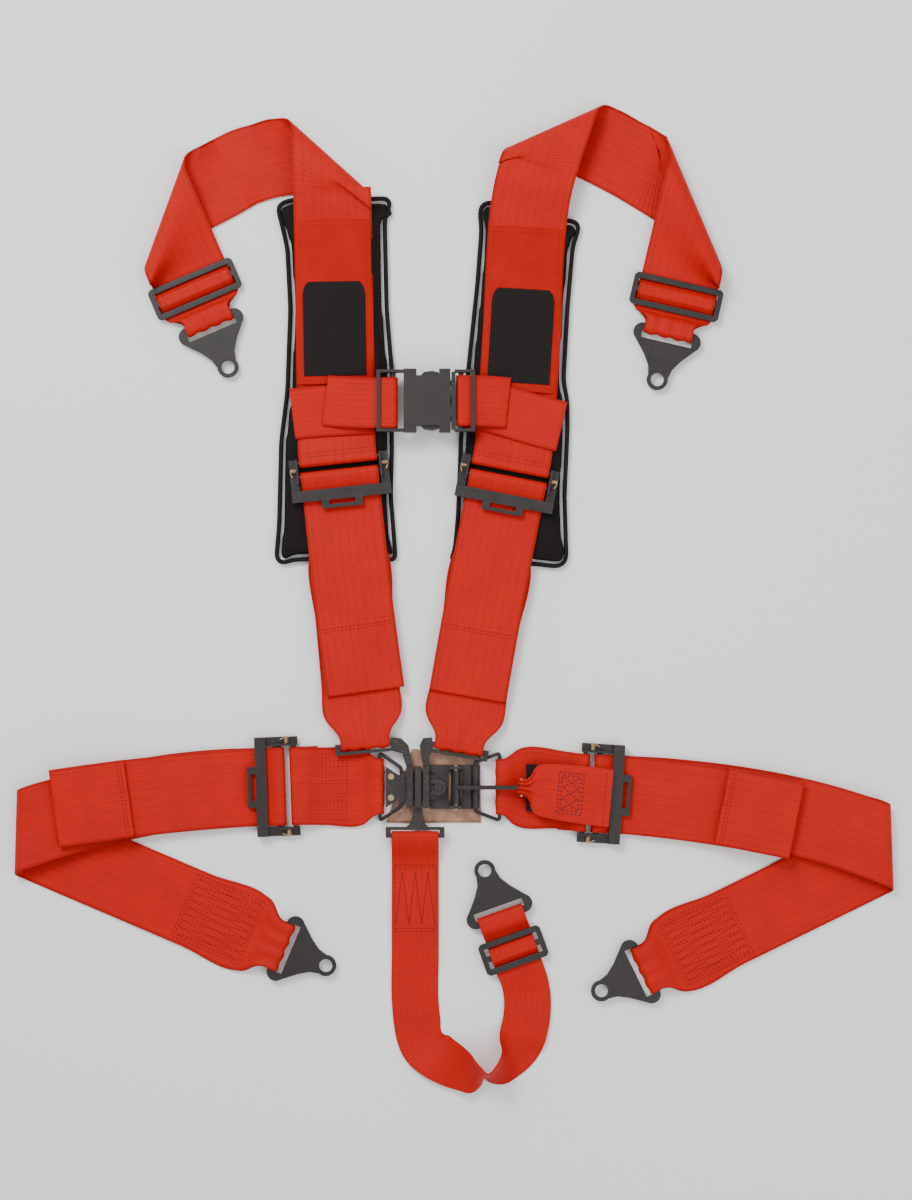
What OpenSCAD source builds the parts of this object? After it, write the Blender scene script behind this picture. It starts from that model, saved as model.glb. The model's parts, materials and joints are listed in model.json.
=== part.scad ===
// Five-point racing harness laid flat, millimetres.
// X runs across the wearer, Y runs up to the shoulders, Z rises from the floor.
// A belt is a flat ribbon that is laid, rolled over and twisted step by step.

/* [Webbing] */
// Width of the shoulder and lap webbing
belt_w = 76.2; // [74:0.1:77]
// Thickness of the shoulder and lap webbing
belt_t = 1.6; // [1.2:0.1:1.8]
// Width of the crotch webbing
sub_w = 46; // [42:1:48]
// Width of the chest webbing
chest_w = 49.5; // [45:0.5:51]
// Thickness of the chest webbing
chest_t = 1.4; // [1:0.1:1.6]
// Width of a belt where it gathers in a bracket or link
gather_w = 48; // [44:1:49]

/* [Shoulder pads] */
// Thickness of the foam shoulder pads
pad_t = 9; // [6:0.5:9]

/* [Hardware] */
// Thickness of brackets, links and sliders
plate_t = 3; // [2.5:0.1:3.2]
// Diameter of the bolt hole in each bracket
bolt_d = 12.7; // [8:0.1:13]
// Distance from a bracket's webbing bar to its bolt hole
bracket_l = 48; // [44:1:52]
// Length of the three-bar sliders
slider_l = 89; // [88:1:94]

/* [Chest buckle] */
// Thickness of the side-release buckle
buckle_t = 12; // [10:0.5:13]

/* [Latch] */
// Height of the lever's hinge pin above the floor
pin_z = 13; // [12.8:0.1:14]
// Length of the lever from its hinge pin
lever_l = 58; // [50:1:60]

/* [Hidden] */

RED = [0.90, 0.16, 0.07];
BLACK = [0.10, 0.07, 0.07];
STEEL = [0.55, 0.52, 0.50];
TAN = [0.66, 0.47, 0.33];

gap = 0.3;                    // air between neighbouring pieces
bar_r = 2.5;                  // bars that a sewn belt end wraps round
loop_r = 3.6;                 // middle of the webbing round such a bar
bracket_loop_r = 5.3;         // middle of the webbing round a bracket's flat bar
shoulder_adj_z = 15;          // height of a shoulder adjuster's fixed bar
lap_adj_z = 8;                // height of a lap adjuster's fixed bar
strap_z = pad_t + 2.9;        // shoulder belt over the pad
slide_u = 14;                 // fixed bar to slide bar in an adjuster
slide_r = 2.9;                // slide bar
roll_r = 4.3;                 // middle of the webbing round the slide bar
join_u = 31;                  // where the roll's webbing meets the rest of its belt
buckle_y = -186.7;            // centre line of the lap belts at the latch
tongue_z = 10;                // middle of the tongue
centre_x = 0.65;               // middle of the harness as it is drawn
centre_y = -2.71;
sewn_r = 1;                   // middle of the webbing in a flat sewn fold

// ---- frames: 4 x 4 matrices, x along the belt, y to its left, z out of its face ----
function shift(v) = [[1, 0, 0, v[0]], [0, 1, 0, v[1]], [0, 0, 1, v[2]], [0, 0, 0, 1]];
function turn_x(a) = [[1, 0, 0, 0], [0, cos(a), -sin(a), 0], [0, sin(a), cos(a), 0], [0, 0, 0, 1]];
function turn_y(a) = [[cos(a), 0, sin(a), 0], [0, 1, 0, 0], [-sin(a), 0, cos(a), 0], [0, 0, 0, 1]];
function turn_z(a) = [[cos(a), -sin(a), 0, 0], [sin(a), cos(a), 0, 0], [0, 0, 1, 0], [0, 0, 0, 1]];
function level(x, y, z, heading, up = true) =
    shift([x, y, z]) * turn_z(heading) * turn_x(up ? 0 : 180);
function heading(m) = atan2(m[1][0], m[0][0]);
function is_up(m) = m[2][2] > 0;

// ---- steps of a belt ----
// lay: [LAY, length, height, steer, stations, width] runs level to a height
// roll: [ROLL, slant, radius, turn, side] bends round a bar that lies slanted across the belt
// twist: [TWIST, length, bend, steer, twist, stations, width] turns about all three axes
LAY = 0;
ROLL = 1;
TWIST = 2;
function count(s) = s[0] == LAY ? s[4] : s[0] == ROLL ? ceil(s[3] / 20) : s[5];
function one_step(m, s) =
    s[0] == LAY
    ? let (h = heading(m) + s[3] / s[4], l = s[1] / s[4])
      level(m[0][3] + l * cos(h), m[1][3] + l * sin(h), m[2][3], h, is_up(m))
    : m * turn_x(s[4] / s[5]) * turn_y(s[2] / s[5]) * turn_z(s[3] / s[5]) * shift([s[1] / s[5], 0, 0]);
function rolled(m, s, i) =
    let (a = s[1], r = s[2], turned = s[3] * i / count(s), side = s[4],
        along = r * turned * PI / 180 * tan(a),
        out = r * sin(turned),
        up = side * r * (1 - cos(turned)))
    m * shift([along * sin(a) + out * cos(a), along * cos(a) - out * sin(a), up])
    * turn_z(-a) * turn_y(-side * turned) * turn_z(a);
function stepped(m, s, i) = i == 0 ? m : one_step(stepped(m, s, i - 1), s);
function lifted(m, z0, z1, share) = shift([0, 0, z0 + (z1 - z0) * share - m[2][3]]) * m;
function station(m, s, i) =
    s[0] == ROLL ? rolled(m, s, i)
    : s[0] == LAY ? lifted(stepped(m, s, i), m[2][3], s[2], i / count(s))
    : stepped(m, s, i);
function width_after(w, s) = s[0] == ROLL ? w : s[len(s) - 1];
function end_frame(m, steps, k = 0) =
    k == len(steps) ? m : end_frame(station(m, steps[k], count(steps[k])), steps, k + 1);
function walk(m, w, steps, k = 0, after_roll = false) =
    k == len(steps)
    ? (after_roll ? [] : [[m, 0, w]])
    : let (s = steps[k], n = count(s), w1 = width_after(w, s), is_roll = s[0] == ROLL,
        first = is_roll || !after_roll ? 0 : 1,
        last = is_roll ? n : n - 1)
      concat([for (i = [first:1:last]) [station(m, s, i), is_roll ? tan(s[1]) : 0, w + (w1 - w) * i / n]],
          walk(station(m, s, n), w1, steps, k + 1, is_roll));
// An edge that would dip into the floor lies on it
function corner(s, side, face, t) =
    let (p = s[0] * [side * s[2] / 2 * s[1], side * s[2] / 2, face * t / 2, 1],
        lowest = 0.1 + (face * s[0][2][2] > 0 ? t : 0))
    [p[0], p[1], max(p[2], lowest)];

module ribbon(m, w, steps, t) {
    stations = walk(m, w, steps);
    n = len(stations);
    points = [for (s = stations) for (c = [[1, 1], [1, -1], [-1, -1], [-1, 1]]) corner(s, c[0], c[1], t)];
    rings = [for (i = [0:n - 2]) for (k = [0:3]) let (a = 4 * i + k, b = 4 * i + (k + 1) % 4)
        each [[a, b, b + 4], [a, b + 4, a + 4]]];
    end = 4 * n - 4;
    far_end = [[end, end + 1, end + 2], [end, end + 2, end + 3]];
    polyhedron(points, concat([[2, 1, 0], [3, 2, 0]], rings, far_end));
}

// Puts the middle of the whole harness over the origin
module home() {
    translate([-centre_x, -centre_y, 0]) children();
}
module place(m) {
    multmatrix(m) children();
}

// Over the middle bar of a three-bar slider: up one slot, across, down the other
hump = [
    [ROLL, 0, 2.2, 45, 1],
    [TWIST, 5.5, 0, 0, 0, 1, belt_w],
    [ROLL, 0, 2.2, 45, -1],
    [TWIST, 6.6, 0, 0, 0, 1, belt_w],
    [ROLL, 0, 2.2, 45, -1],
    [TWIST, 5.5, 0, 0, 0, 1, belt_w],
    [ROLL, 0, 2.2, 45, 1]
];
function narrowed(steps, w) =
    [for (s = steps) s[0] == TWIST ? [s[0], s[1], s[2], s[3], s[4], s[5], w] : s];

// ---- routes ----
slider_z = 7.5;               // middle of a slider's plate
under_z = slider_z - plate_t / 2 - gap - belt_t / 2;
floor_z = belt_t / 2 + 0.1;   // webbing that lies on the floor
bracket_z = floor_z + bracket_loop_r;
slide_to_bar = 34.9;            // slider's middle to the bracket's bar

// From the far side of the slider: hump, bracket, and back under to the free end
function anchored(w, narrow) = concat(
    [[LAY, 8, under_z, 0, 1, w]],
    narrowed(hump, w),
    [[LAY, 7, under_z, 0, 1, w], [LAY, 9, bracket_z + bracket_loop_r, 0, 1, narrow],
     [LAY, 8.6, bracket_z + bracket_loop_r, 0, 1, narrow], [ROLL, 0, bracket_loop_r, 180, -1],
     [LAY, 6, floor_z, 0, 1, narrow], [LAY, 12, floor_z, 0, 1, w], [LAY, 34, floor_z, 0, 1, w]]);

shoulder_start_left = level(-114.06, 146.92, shoulder_adj_z - loop_r, 276, false);
shoulder_start_right = level(58.27, 139.94, shoulder_adj_z - loop_r, 259, false);
function sewn_end(h) = [[LAY, 14, shoulder_adj_z - loop_r, 0, 1, belt_w], [ROLL, 0, loop_r, 180, -1],
    [LAY, 14, strap_z + 1.9, 0, 1, belt_w], [LAY, 14, strap_z, h, 1, belt_w]];
shoulder_run_left = concat(sewn_end(-5),
    [[LAY, 206, strap_z, 0, 2, belt_w], [LAY, 46, 22, 0, 3, belt_w], [ROLL, 43, 10, 180, -1],
     [LAY, 52, 2, 4, 1, belt_w], [LAY, 28, 2, 18, 2, belt_w], [LAY, 54, 2, 0, 1, belt_w],
     [ROLL, -47, 10, 180, -1], [LAY, 44, under_z, 0, 1, belt_w]]);
shoulder_run_right = concat(sewn_end(6),
    [[LAY, 206, strap_z, 2, 2, belt_w], [LAY, 40, 20, -8, 3, belt_w], [LAY, 46, 22, -7, 2, belt_w],
     [ROLL, -42, 10, 180, -1], [LAY, 56, 2, -2, 1, belt_w], [LAY, 26, 2, -5, 2, belt_w],
     [LAY, 32, 2, 0, 1, belt_w], [ROLL, 54, 10, 180, -1], [LAY, 52, under_z, 0, 1, belt_w]]);
shoulder_slider_frame_left = end_frame(shoulder_start_left,
    concat(shoulder_run_left, [[LAY, 8 + 10.3, slider_z, 0, 1, belt_w]]));
shoulder_slider_frame_right = end_frame(shoulder_start_right,
    concat(shoulder_run_right, [[LAY, 8 + 10.3, slider_z, 0, 1, belt_w]]));
function bracket_after(slider) = slider * shift([slide_to_bar, 0, bracket_z - slider_z]);

// Adjusters: origin on the bar that the sewn belt end wraps round, x towards the free belt
adj_shoulder_left = level(-112.6, 133, shoulder_adj_z, 276);
adj_shoulder_right = level(55.6, 126.2, shoulder_adj_z, 259);
adj_lap_left = level(-155.2, -185.7, lap_adj_z, 182);
adj_lap_right = level(127.1, -192.3, lap_adj_z, -3.3);
tail_drop = -1.4;             // the free belt under the handle, from the adjuster's bar
roll_run = [
    [LAY, 5, 0, 0, 1, belt_w], [LAY, join_u - 5 - slide_u, 0, 0, 1, belt_w], [ROLL, 0, roll_r, 180, -1],
    [LAY, join_u - slide_u, 0, 0, 1, belt_w]
];

// Lower shoulder belts, from their adjuster down to the link
function lower_start(adj, z) = adj * shift([join_u + 0.5, 0, z]);
function lower_under(h) = [
    [LAY, 60, shoulder_adj_z - roll_r, 0, 1, belt_w], [LAY, 130, 7, h, 2, belt_w],
    [LAY, 28, 9, 0, 1, belt_w],
    [LAY, 24, tongue_z + loop_r, 0, 1, gather_w], [LAY, 6, tongue_z + loop_r, 0, 1, gather_w]
];
lower_turn = [[ROLL, 0, loop_r, 180, -1], [LAY, 8, tongue_z - loop_r, 0, 1, gather_w],
    [LAY, 14, 5, 0, 1, gather_w]];
function lower_tail(h) = concat(
    [[LAY, 60, 13.4, 0, 1, belt_w], [LAY, 135, 10, h, 3, belt_w]],
    [[ROLL, 0, sewn_r, 180, 1], [LAY, 68, 12.6, 0, 2, belt_w]]);
link_bar_left = end_frame(lower_start(adj_shoulder_left, -roll_r), lower_under(-1))
    * shift([0, 0, -loop_r]);
link_bar_right = end_frame(lower_start(adj_shoulder_right, -roll_r), lower_under(1))
    * shift([0, 0, -loop_r]);

// Lap belts, from the bracket out to the fold and back to the adjuster
lap_start_left = level(-248.3, -309.1, floor_z, -23, false);
lap_start_right = level(265.2, -327.4, floor_z, 206, false);
lap_end = [[LAY, 60, floor_z, 0, 2, belt_w], [LAY, 18, floor_z, 0, 1, gather_w],
    [LAY, 8, floor_z, 0, 1, gather_w]];
function lap_out(last) = [[ROLL, 0, bracket_loop_r, 180, -1],
    [LAY, 8, bracket_z + bracket_loop_r, 0, 1, gather_w], [LAY, 20, 4, 0, 1, belt_w],
    [LAY, 62, 3, 0, 1, belt_w], [LAY, last, floor_z, 0, 3, belt_w]];
fold_r = 7;
top_z = floor_z + 2 * fold_r;
lap_run_left = concat(lap_end, lap_out(183),
    [[ROLL, -21.5, fold_r, 180, 1], [LAY, 50, top_z - 3, -3, 1, belt_w], [LAY, 90, 8, -6.5, 2, belt_w],
     [LAY, 98, lap_adj_z - roll_r, -8.5, 2, belt_w]]);
lap_run_right = concat(lap_end, lap_out(169.8),
    [[ROLL, 24, fold_r, 180, 1], [LAY, 60, top_z - 3, 5, 2, belt_w], [LAY, 90, 8, 7, 2, belt_w],
     [LAY, 118, lap_adj_z - roll_r, 6.7, 2, belt_w]]);
function lap_tail(h, l) = [[LAY, 90, 10, h / 2, 2, belt_w], [LAY, l, top_z + 3, h / 2, 3, belt_w],
    [ROLL, 0, sewn_r, 180, 1], [LAY, 72, top_z + 3.6, 0, 2, belt_w]];

// Crotch belt, from its link down, round on edge and up to its bracket
sub_link_bar = level(-37.5, -234, tongue_z, 90);
sub_start = level(-37.5, -306, floor_z, 90, false);
sub_run = concat([[LAY, 46, floor_z, 0, 1, sub_w], [LAY, 26, tongue_z - loop_r, 0, 1, sub_w],
    [ROLL, 0, loop_r, 180, -1], [LAY, 26, 4, 0, 1, sub_w], [LAY, 46, floor_z + 2.2, 0, 1, sub_w],
    [LAY, 92, floor_z, 0, 2, sub_w], [LAY, 36, floor_z, 11, 2, sub_w]],
    [[TWIST, 20, -16, 42.5, 0, 3, sub_w], [TWIST, 45, -11, 20.5, 48, 4, sub_w],
     [TWIST, 15, 34, -23.5, 48, 3, sub_w], [TWIST, 23, 55, -11, -44, 4, sub_w],
     [TWIST, 35, -38, 37.5, -51, 4, sub_w]],
    [[LAY, 40, floor_z + 2, 23, 3, sub_w], [LAY, 29, under_z, 19, 2, sub_w]]);
sub_slider_frame = end_frame(sub_start, concat(sub_run, [[LAY, 8 + 10.3, slider_z, 0, 1, sub_w]]));

// Chest belts: free tail, round the buckle's bar, under the shoulder belt and back over it
chest_under = pad_t + gap + chest_t / 2;
chest_over = chest_under + 4.9;
buckle_z = chest_over + chest_t / 2 + gap;
buckle_mid_z = buckle_z + buckle_t / 2;
buckle_y0 = 190;
socket_bar_x = -59;
plug_bar_x = 7.4;
chest_bar_r = 2.5;
chest_roll_r = 4.2;
chest_start_left = level(socket_bar_x - 65.91, buckle_y0 + 0.69, chest_over + 2.3, -7);
chest_run_left = [[LAY, 66, buckle_mid_z + chest_roll_r, 7, 3, chest_w], [ROLL, 0, chest_roll_r, 180, -1],
    [LAY, 14, chest_under, 0, 1, chest_w], [LAY, 82, chest_under, 7, 1, chest_w], [ROLL, 0, 2.45, 180, -1],
    [LAY, 76, chest_over, -3, 1, chest_w]];
chest_start_right = level(14, 186.5, chest_under, -11);
chest_run_right = [[LAY, 91, chest_under, -2, 1, chest_w], [ROLL, 0, 2.45, 180, 1],
    [LAY, 78, chest_over, -3, 1, chest_w]];
chest_tail_start = level(plug_bar_x + 45.94, buckle_y0 - 1.76, chest_over + 2.4, 173.4);
chest_tail_run = [[LAY, 46, buckle_mid_z + chest_roll_r, 6.6, 3, chest_w], [ROLL, 0, chest_roll_r, 180, -1],
    [LAY, 4, buckle_mid_z - chest_roll_r - 0.3, 0, 1, chest_w]];

// Short lap belts between the adjusters and the latch
wire_z = 5.4;
wire_bar_left = -72;
wire_bar_right = 45;
patch_w = 54;                 // width at the wire loop
lap_short_left = level(-132, -184.9, 2, 182, false);
lap_short_run_left = [[LAY, 23.2, lap_adj_z - loop_r, 0, 1, belt_w], [ROLL, 0, loop_r, 180, -1],
    [LAY, 30, 4.4, -3, 1, belt_w], [LAY, 36, 4, 1, 1, belt_w], [LAY, 17, wire_z + loop_r, 0, 1, patch_w],
    [ROLL, 0, loop_r, 180, -1], [LAY, 12, 1.6, 0, 1, patch_w], [LAY, 18, 1.6, 0, 1, patch_w]];
lap_short_right = level(104, -191, 2, -3.3, false);
lap_short_run_right = [[LAY, 23.2, lap_adj_z - loop_r, 0, 1, belt_w], [ROLL, 0, loop_r, 180, -1],
    [LAY, 20, 4.4, -3, 1, belt_w], [LAY, 44, 4, 2, 1, belt_w], [LAY, 18, wire_z + loop_r, 4.3, 1, patch_w],
    [ROLL, 0, loop_r, 180, -1], [LAY, 12, 1.6, 0, 1, patch_w], [LAY, 18, 1.6, 0, 1, patch_w]];

// ---- belts ----
module shoulder_strap_left() {
    color(RED) home()
        ribbon(shoulder_start_left, belt_w, concat(shoulder_run_left, anchored(belt_w, gather_w)), belt_t);
}
module shoulder_strap_right() {
    color(RED) home()
        ribbon(shoulder_start_right, belt_w,
            concat(shoulder_run_right, anchored(belt_w, gather_w)), belt_t);
}
module lower_strap(adj, h_under, h_tail) {
    ribbon(lower_start(adj, -roll_r), belt_w, concat(lower_under(h_under), lower_turn), belt_t);
    ribbon(lower_start(adj, tail_drop), belt_w, lower_tail(h_tail), belt_t);
}
module shoulder_lower_strap_left() {
    color(RED) home() lower_strap(adj_shoulder_left, -1, 2);
}
module shoulder_lower_strap_right() {
    color(RED) home() lower_strap(adj_shoulder_right, 1, 1);
}
module lap_strap_left() {
    color(RED) home() {
        ribbon(lap_start_left, belt_w, lap_run_left, belt_t);
        ribbon(adj_lap_left * shift([join_u + 0.5, 0, tail_drop]), belt_w, lap_tail(6, 112), belt_t);
    }
}
module lap_strap_right() {
    color(RED) home() {
        ribbon(lap_start_right, belt_w, lap_run_right, belt_t);
        ribbon(adj_lap_right * shift([join_u + 0.5, 0, tail_drop]), belt_w, lap_tail(-8, 86), belt_t);
    }
}
module belt_roll(adj) {
    heights = [tail_drop + 1.8, roll_r, 0, -roll_r];
    z0 = adj[2][3];
    steps = [for (k = [0:3])
        roll_run[k][0] == LAY ? [LAY, roll_run[k][1], z0 + heights[k], 0, 1, belt_w] : roll_run[k]];
    color(RED) home() ribbon(adj * shift([join_u, 0, tail_drop]) * turn_z(180), belt_w, steps, belt_t);
}
module shoulder_roll_left() {
    belt_roll(adj_shoulder_left);
}
module shoulder_roll_right() {
    belt_roll(adj_shoulder_right);
}
module lap_roll_left() {
    belt_roll(adj_lap_left);
}
module lap_roll_right() {
    belt_roll(adj_lap_right);
}
module sub_strap() {
    color(RED) home() ribbon(sub_start, sub_w, concat(sub_run, anchored(sub_w, sub_w)), belt_t);
}
module chest_strap_left() {
    color(RED) home() ribbon(chest_start_left, chest_w, chest_run_left, chest_t);
}
module chest_strap_right() {
    color(RED) home() ribbon(chest_start_right, chest_w, chest_run_right, chest_t);
}
module chest_tail_right() {
    color(RED) home() ribbon(chest_tail_start, chest_w, chest_tail_run, chest_t);
}
module lap_end_strap_left() {
    color(RED) home() ribbon(lap_short_left, belt_w, lap_short_run_left, belt_t);
}
module lap_end_strap_right() {
    color(RED) home() ribbon(lap_short_right, belt_w, lap_short_run_right, belt_t);
}

// ---- pads ----
module pad(outline) {
    color(BLACK) home() linear_extrude(pad_t) polygon(outline);
}
module shoulder_pad_left() {
    pad([[-174, 381], [-168, 387], [-152, 390], [-78, 390], [-64, 391], [-60, 385], [-66, 368], [-64, 280],
        [-59, 220], [-59, 140], [-60, 97], [-55, 34], [-139, 35], [-158, 34], [-168, 30], [-175, 35],
        [-172, 70], [-170, 152], [-164, 200], [-161, 281], [-164, 340], [-170, 366]]);
}
module shoulder_pad_right() {
    pad([[24, 378], [28, 386], [36, 387], [110, 369], [122, 368], [125, 363], [118, 341], [113, 282],
        [109, 211], [113, 189], [113, 163], [110, 97], [112, 33], [104, 27], [80, 30], [-5, 34], [0, 45],
        [3, 78], [6, 155], [13, 221], [22, 306], [26, 359]]);
}
// A twill sleeve lies over the shoulder belt
sleeve_w = 74;
sleeve_t = 0.9;
module sleeve(adj, first, steer) {
    start = end_frame(adj, first);
    color(RED) home() ribbon(shift([0, 0, belt_t / 2 + sleeve_t / 2 + gap]) * start, sleeve_w,
        [[LAY, 160, strap_z + belt_t / 2 + sleeve_t / 2 + gap, steer, 2, sleeve_w]], sleeve_t);
}
module pad_sleeve_left() {
    sleeve(shoulder_start_left, concat(sewn_end(-5), [[LAY, 46, strap_z, 0, 1, belt_w]]), 0);
}
module pad_sleeve_right() {
    sleeve(shoulder_start_right, concat(sewn_end(6), [[LAY, 46, strap_z, 1, 1, belt_w]]), 1);
}

// ---- webbing hardware ----
module bar_along_y(r, half) {
    rotate([90, 0, 0]) cylinder(r = r, h = 2 * half, center = true, $fn = 48);
}
// Origin on the webbing bar's axis, x towards the bolt hole
module bracket_outline() {
    difference() {
        union() {
            translate([bracket_l, 0]) circle(r = 10.4, $fn = 48);
            polygon([[bracket_l - 3.6, 10], [bracket_l - 12, 12], [bracket_l - 22, 18.5],
                [bracket_l - 32, 27], [11, 31.5], [11, -31.5], [bracket_l - 32, -27], [bracket_l - 22, -18.5],
                [bracket_l - 12, -12], [bracket_l - 3.6, -10]]);
            for (side = [-1, 1]) translate([5.4, side * 24.6]) circle(r = 9, $fn = 48);
            translate([-3.6, -25]) square([16, 50]);
        }
        translate([3.6, -25]) square([7.2, 50]);
        translate([bracket_l, 0]) circle(d = bolt_d, $fn = 64);
    }
}
module bracket(m) {
    color(BLACK) home() place(m) translate([0, 0, -plate_t / 2]) linear_extrude(plate_t) bracket_outline();
}
bracket_shoulder_left = bracket_after(shoulder_slider_frame_left);
bracket_shoulder_right = bracket_after(shoulder_slider_frame_right);
bracket_lap_left = end_frame(lap_start_left, lap_end) * turn_x(180) * shift([0, 0, bracket_loop_r]);
bracket_lap_right = end_frame(lap_start_right, lap_end) * turn_x(180) * shift([0, 0, bracket_loop_r]);
bracket_sub = bracket_after(sub_slider_frame);
module shoulder_bracket_left() {
    bracket(bracket_shoulder_left);
}
module shoulder_bracket_right() {
    bracket(bracket_shoulder_right);
}
module lap_bracket_left() {
    bracket(bracket_lap_left);
}
module lap_bracket_right() {
    bracket(bracket_lap_right);
}
module sub_bracket() {
    bracket(bracket_sub);
}
// Three bars with a slot between each pair
module slider(m, length) {
    half = length / 2;
    color(BLACK) home() place(m) translate([0, 0, -plate_t / 2]) linear_extrude(plate_t) difference() {
        polygon([[-16, 3 - half], [-13, -half], [13, -half], [16, 3 - half], [16, half - 3], [13, half],
            [-13, half], [-16, half - 3]]);
        for (side = [-1, 1]) translate([side * 6.5 - 3.5, 5 - half]) square([7, length - 10]);
    }
}
module shoulder_slider_left() {
    slider(shoulder_slider_frame_left, slider_l);
}
module shoulder_slider_right() {
    slider(shoulder_slider_frame_right, slider_l);
}
module sub_slider() {
    slider(sub_slider_frame, sub_w + 18);
}

// ---- adjusters ----
rail_in = 39.7;               // inner face of the side rails
rail_out = 48.5;
module adjuster(m) {
    color(BLACK) home() place(m) difference() {
        union() {
            bar_along_y(bar_r, rail_in + 1);
            for (side = [-1, 1]) {
                translate([-4, side > 0 ? rail_in : -rail_out, -4]) cube([42, rail_out - rail_in, 2.4]);
                translate([-4, side > 0 ? rail_in : -rail_in - 2.2, -4]) cube([24, 2.2, 8.5]);
                translate([27, side > 0 ? rail_in + 2 : -rail_out, -4])
                    cube([11, rail_out - rail_in - 2, 8.5]);
            }
            translate([27, -rail_out, 2]) cube([11, 2 * rail_out, 2.5]);
            translate([37, -20, 2]) cube([9, 40, 2.5]);
        }
        translate([38, -13, 0]) cube([4.4, 26, 6]);
        translate([slide_u, 0, 0]) bar_along_y(2.05, rail_in + 4);
    }
}
module slide_bar(m) {
    color(BLACK) home() place(m) translate([slide_u, 0, 0]) {
        bar_along_y(slide_r, rail_in - 0.4);
        bar_along_y(2, rail_in + 2.6);
    }
}
module springs(m) {
    color(TAN) home() place(m) for (side = [-1, 1]) translate([7, side * (rail_in + 5.2), 0.4]) {
        bar_along_y(1.7, 2.4);
        translate([0, 0, 1.1]) rotate([0, 90, 0]) cylinder(r = 0.5, h = 9, $fn = 24);
    }
}
module shoulder_adjuster_left() {
    adjuster(adj_shoulder_left);
}
module shoulder_adjuster_right() {
    adjuster(adj_shoulder_right);
}
module lap_adjuster_left() {
    adjuster(adj_lap_left);
}
module lap_adjuster_right() {
    adjuster(adj_lap_right);
}
module shoulder_slide_bar_left() {
    slide_bar(adj_shoulder_left);
}
module shoulder_slide_bar_right() {
    slide_bar(adj_shoulder_right);
}
module lap_slide_bar_left() {
    slide_bar(adj_lap_left);
}
module lap_slide_bar_right() {
    slide_bar(adj_lap_right);
}
module shoulder_springs_left() {
    springs(adj_shoulder_left);
}
module shoulder_springs_right() {
    springs(adj_shoulder_right);
}
module lap_springs_left() {
    springs(adj_lap_left);
}
module lap_springs_right() {
    springs(adj_lap_right);
}

// ---- links and tongue at the latch ----
eye_l = 6;
module eye(x) {
    translate([x - eye_l / 2, buckle_y, tongue_z]) difference() {
        translate([0, -20, -7]) cube([eye_l, 40, 14]);
        translate([-1, -13.5, -3]) cube([eye_l + 2, 27, 6]);
    }
}
module link_bar(m, half) {
    place(m) translate([0, 0, -plate_t / 2]) linear_extrude(plate_t) difference() {
        translate([-2.2, -half - 5]) square([10.6, 2 * half + 10]);
        translate([2.2, -half]) square([3.2, 2 * half]);
    }
}
module wing(points) {
    translate([0, 0, tongue_z - plate_t / 2]) linear_extrude(plate_t) polygon(points);
}
link_eye_left = -42.6;
sub_eye = -34.6;
link_eye_right = -26.6;
module shoulder_link_left() {
    color(BLACK) home() {
        link_bar(link_bar_left, gather_w / 2 + 0.8);
        wing([[-61, -138], [-51, -139], [-44, -146], [-39.6, -168], [-45.6, -168], [-50, -154],
            [-61, -151]]);
        eye(link_eye_left);
    }
}
module shoulder_link_right() {
    color(BLACK) home() {
        link_bar(link_bar_right, gather_w / 2 + 0.8);
        wing([[-20.8, -138], [-30, -139], [-33, -146], [-29.6, -168], [-23.6, -168], [-24, -157],
            [-20.8, -152]]);
        eye(link_eye_right);
    }
}
module sub_link() {
    color(BLACK) home() {
        link_bar(sub_link_bar, sub_w / 2 + 0.8);
        wing([[-48, -227], [-42, -222], [-37.6, -205], [-31.6, -205], [-28, -222], [-24, -227]]);
        eye(sub_eye);
    }
}
post_x = -15;
module lap_tongue() {
    color(BLACK) home() translate([0, buckle_y, tongue_z - plate_t / 2]) difference() {
        linear_extrude(plate_t) difference() {
            polygon([[-66, -20], [-54, -12], [post_x - 4, -12], [post_x + 6, -6], [post_x + 6, 6],
                [post_x - 4, 12], [-54, 12], [-66, 20]]);
            translate([post_x, 0]) circle(r = 4.1, $fn = 48);
            for (side = [-1, 1]) translate([-61, side * 10.3]) circle(r = 2.05, $fn = 32);
        }
    }
    color(BLACK) home() translate([-50, buckle_y, tongue_z - plate_t / 2]) linear_extrude(plate_t)
        translate([-2.5, -16]) square([5, 32]);
}
module tongue_rivets() {
    color(TAN) home() for (side = [-1, 1]) translate([-61, buckle_y + side * 10.3, tongue_z - 3]) {
        cylinder(r = 2, h = 6, $fn = 32);
        translate([0, 0, plate_t / 2 + 3]) cylinder(r = 3, h = 1.3, $fn = 32);
        translate([0, 0, 0.2]) cylinder(r = 3, h = 1.3, $fn = 32);
    }
}
module rod(a, b, r) {
    d = b - a;
    translate(a) rotate([0, acos(d[2] / norm(d)), atan2(d[1], d[0])])
        cylinder(r = r, h = norm(d), $fn = 24);
}
module bail(x_bar, x_in, half_in, z_in) {
    half = patch_w / 2 + 6;
    for (side = [-1, 1]) {
        translate([x_in, buckle_y + side * half_in, z_in]) cube([4.2, 5.4, 3.6], center = true);
        rod([x_bar, buckle_y + side * half, wire_z], [x_in, buckle_y + side * half_in, z_in], 1.8);
        translate([x_bar, buckle_y + side * half, wire_z])
            cylinder(r = 2.6, h = 5, center = true, $fn = 32);
    }
    translate([x_bar, buckle_y, wire_z]) bar_along_y(1.8, half);
}
module lap_wire_left() {
    color(BLACK) home() {
        bail(wire_bar_left, -51, 19, tongue_z);
    }
}
barrel_x = 21.6;
barrel_z = 6.5;
module lap_wire_right() {
    color(BLACK) home() {
        bail(wire_bar_right, barrel_x, 24, barrel_z);
        translate([barrel_x, buckle_y, barrel_z]) bar_along_y(1.8, 24);
    }
}

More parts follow.
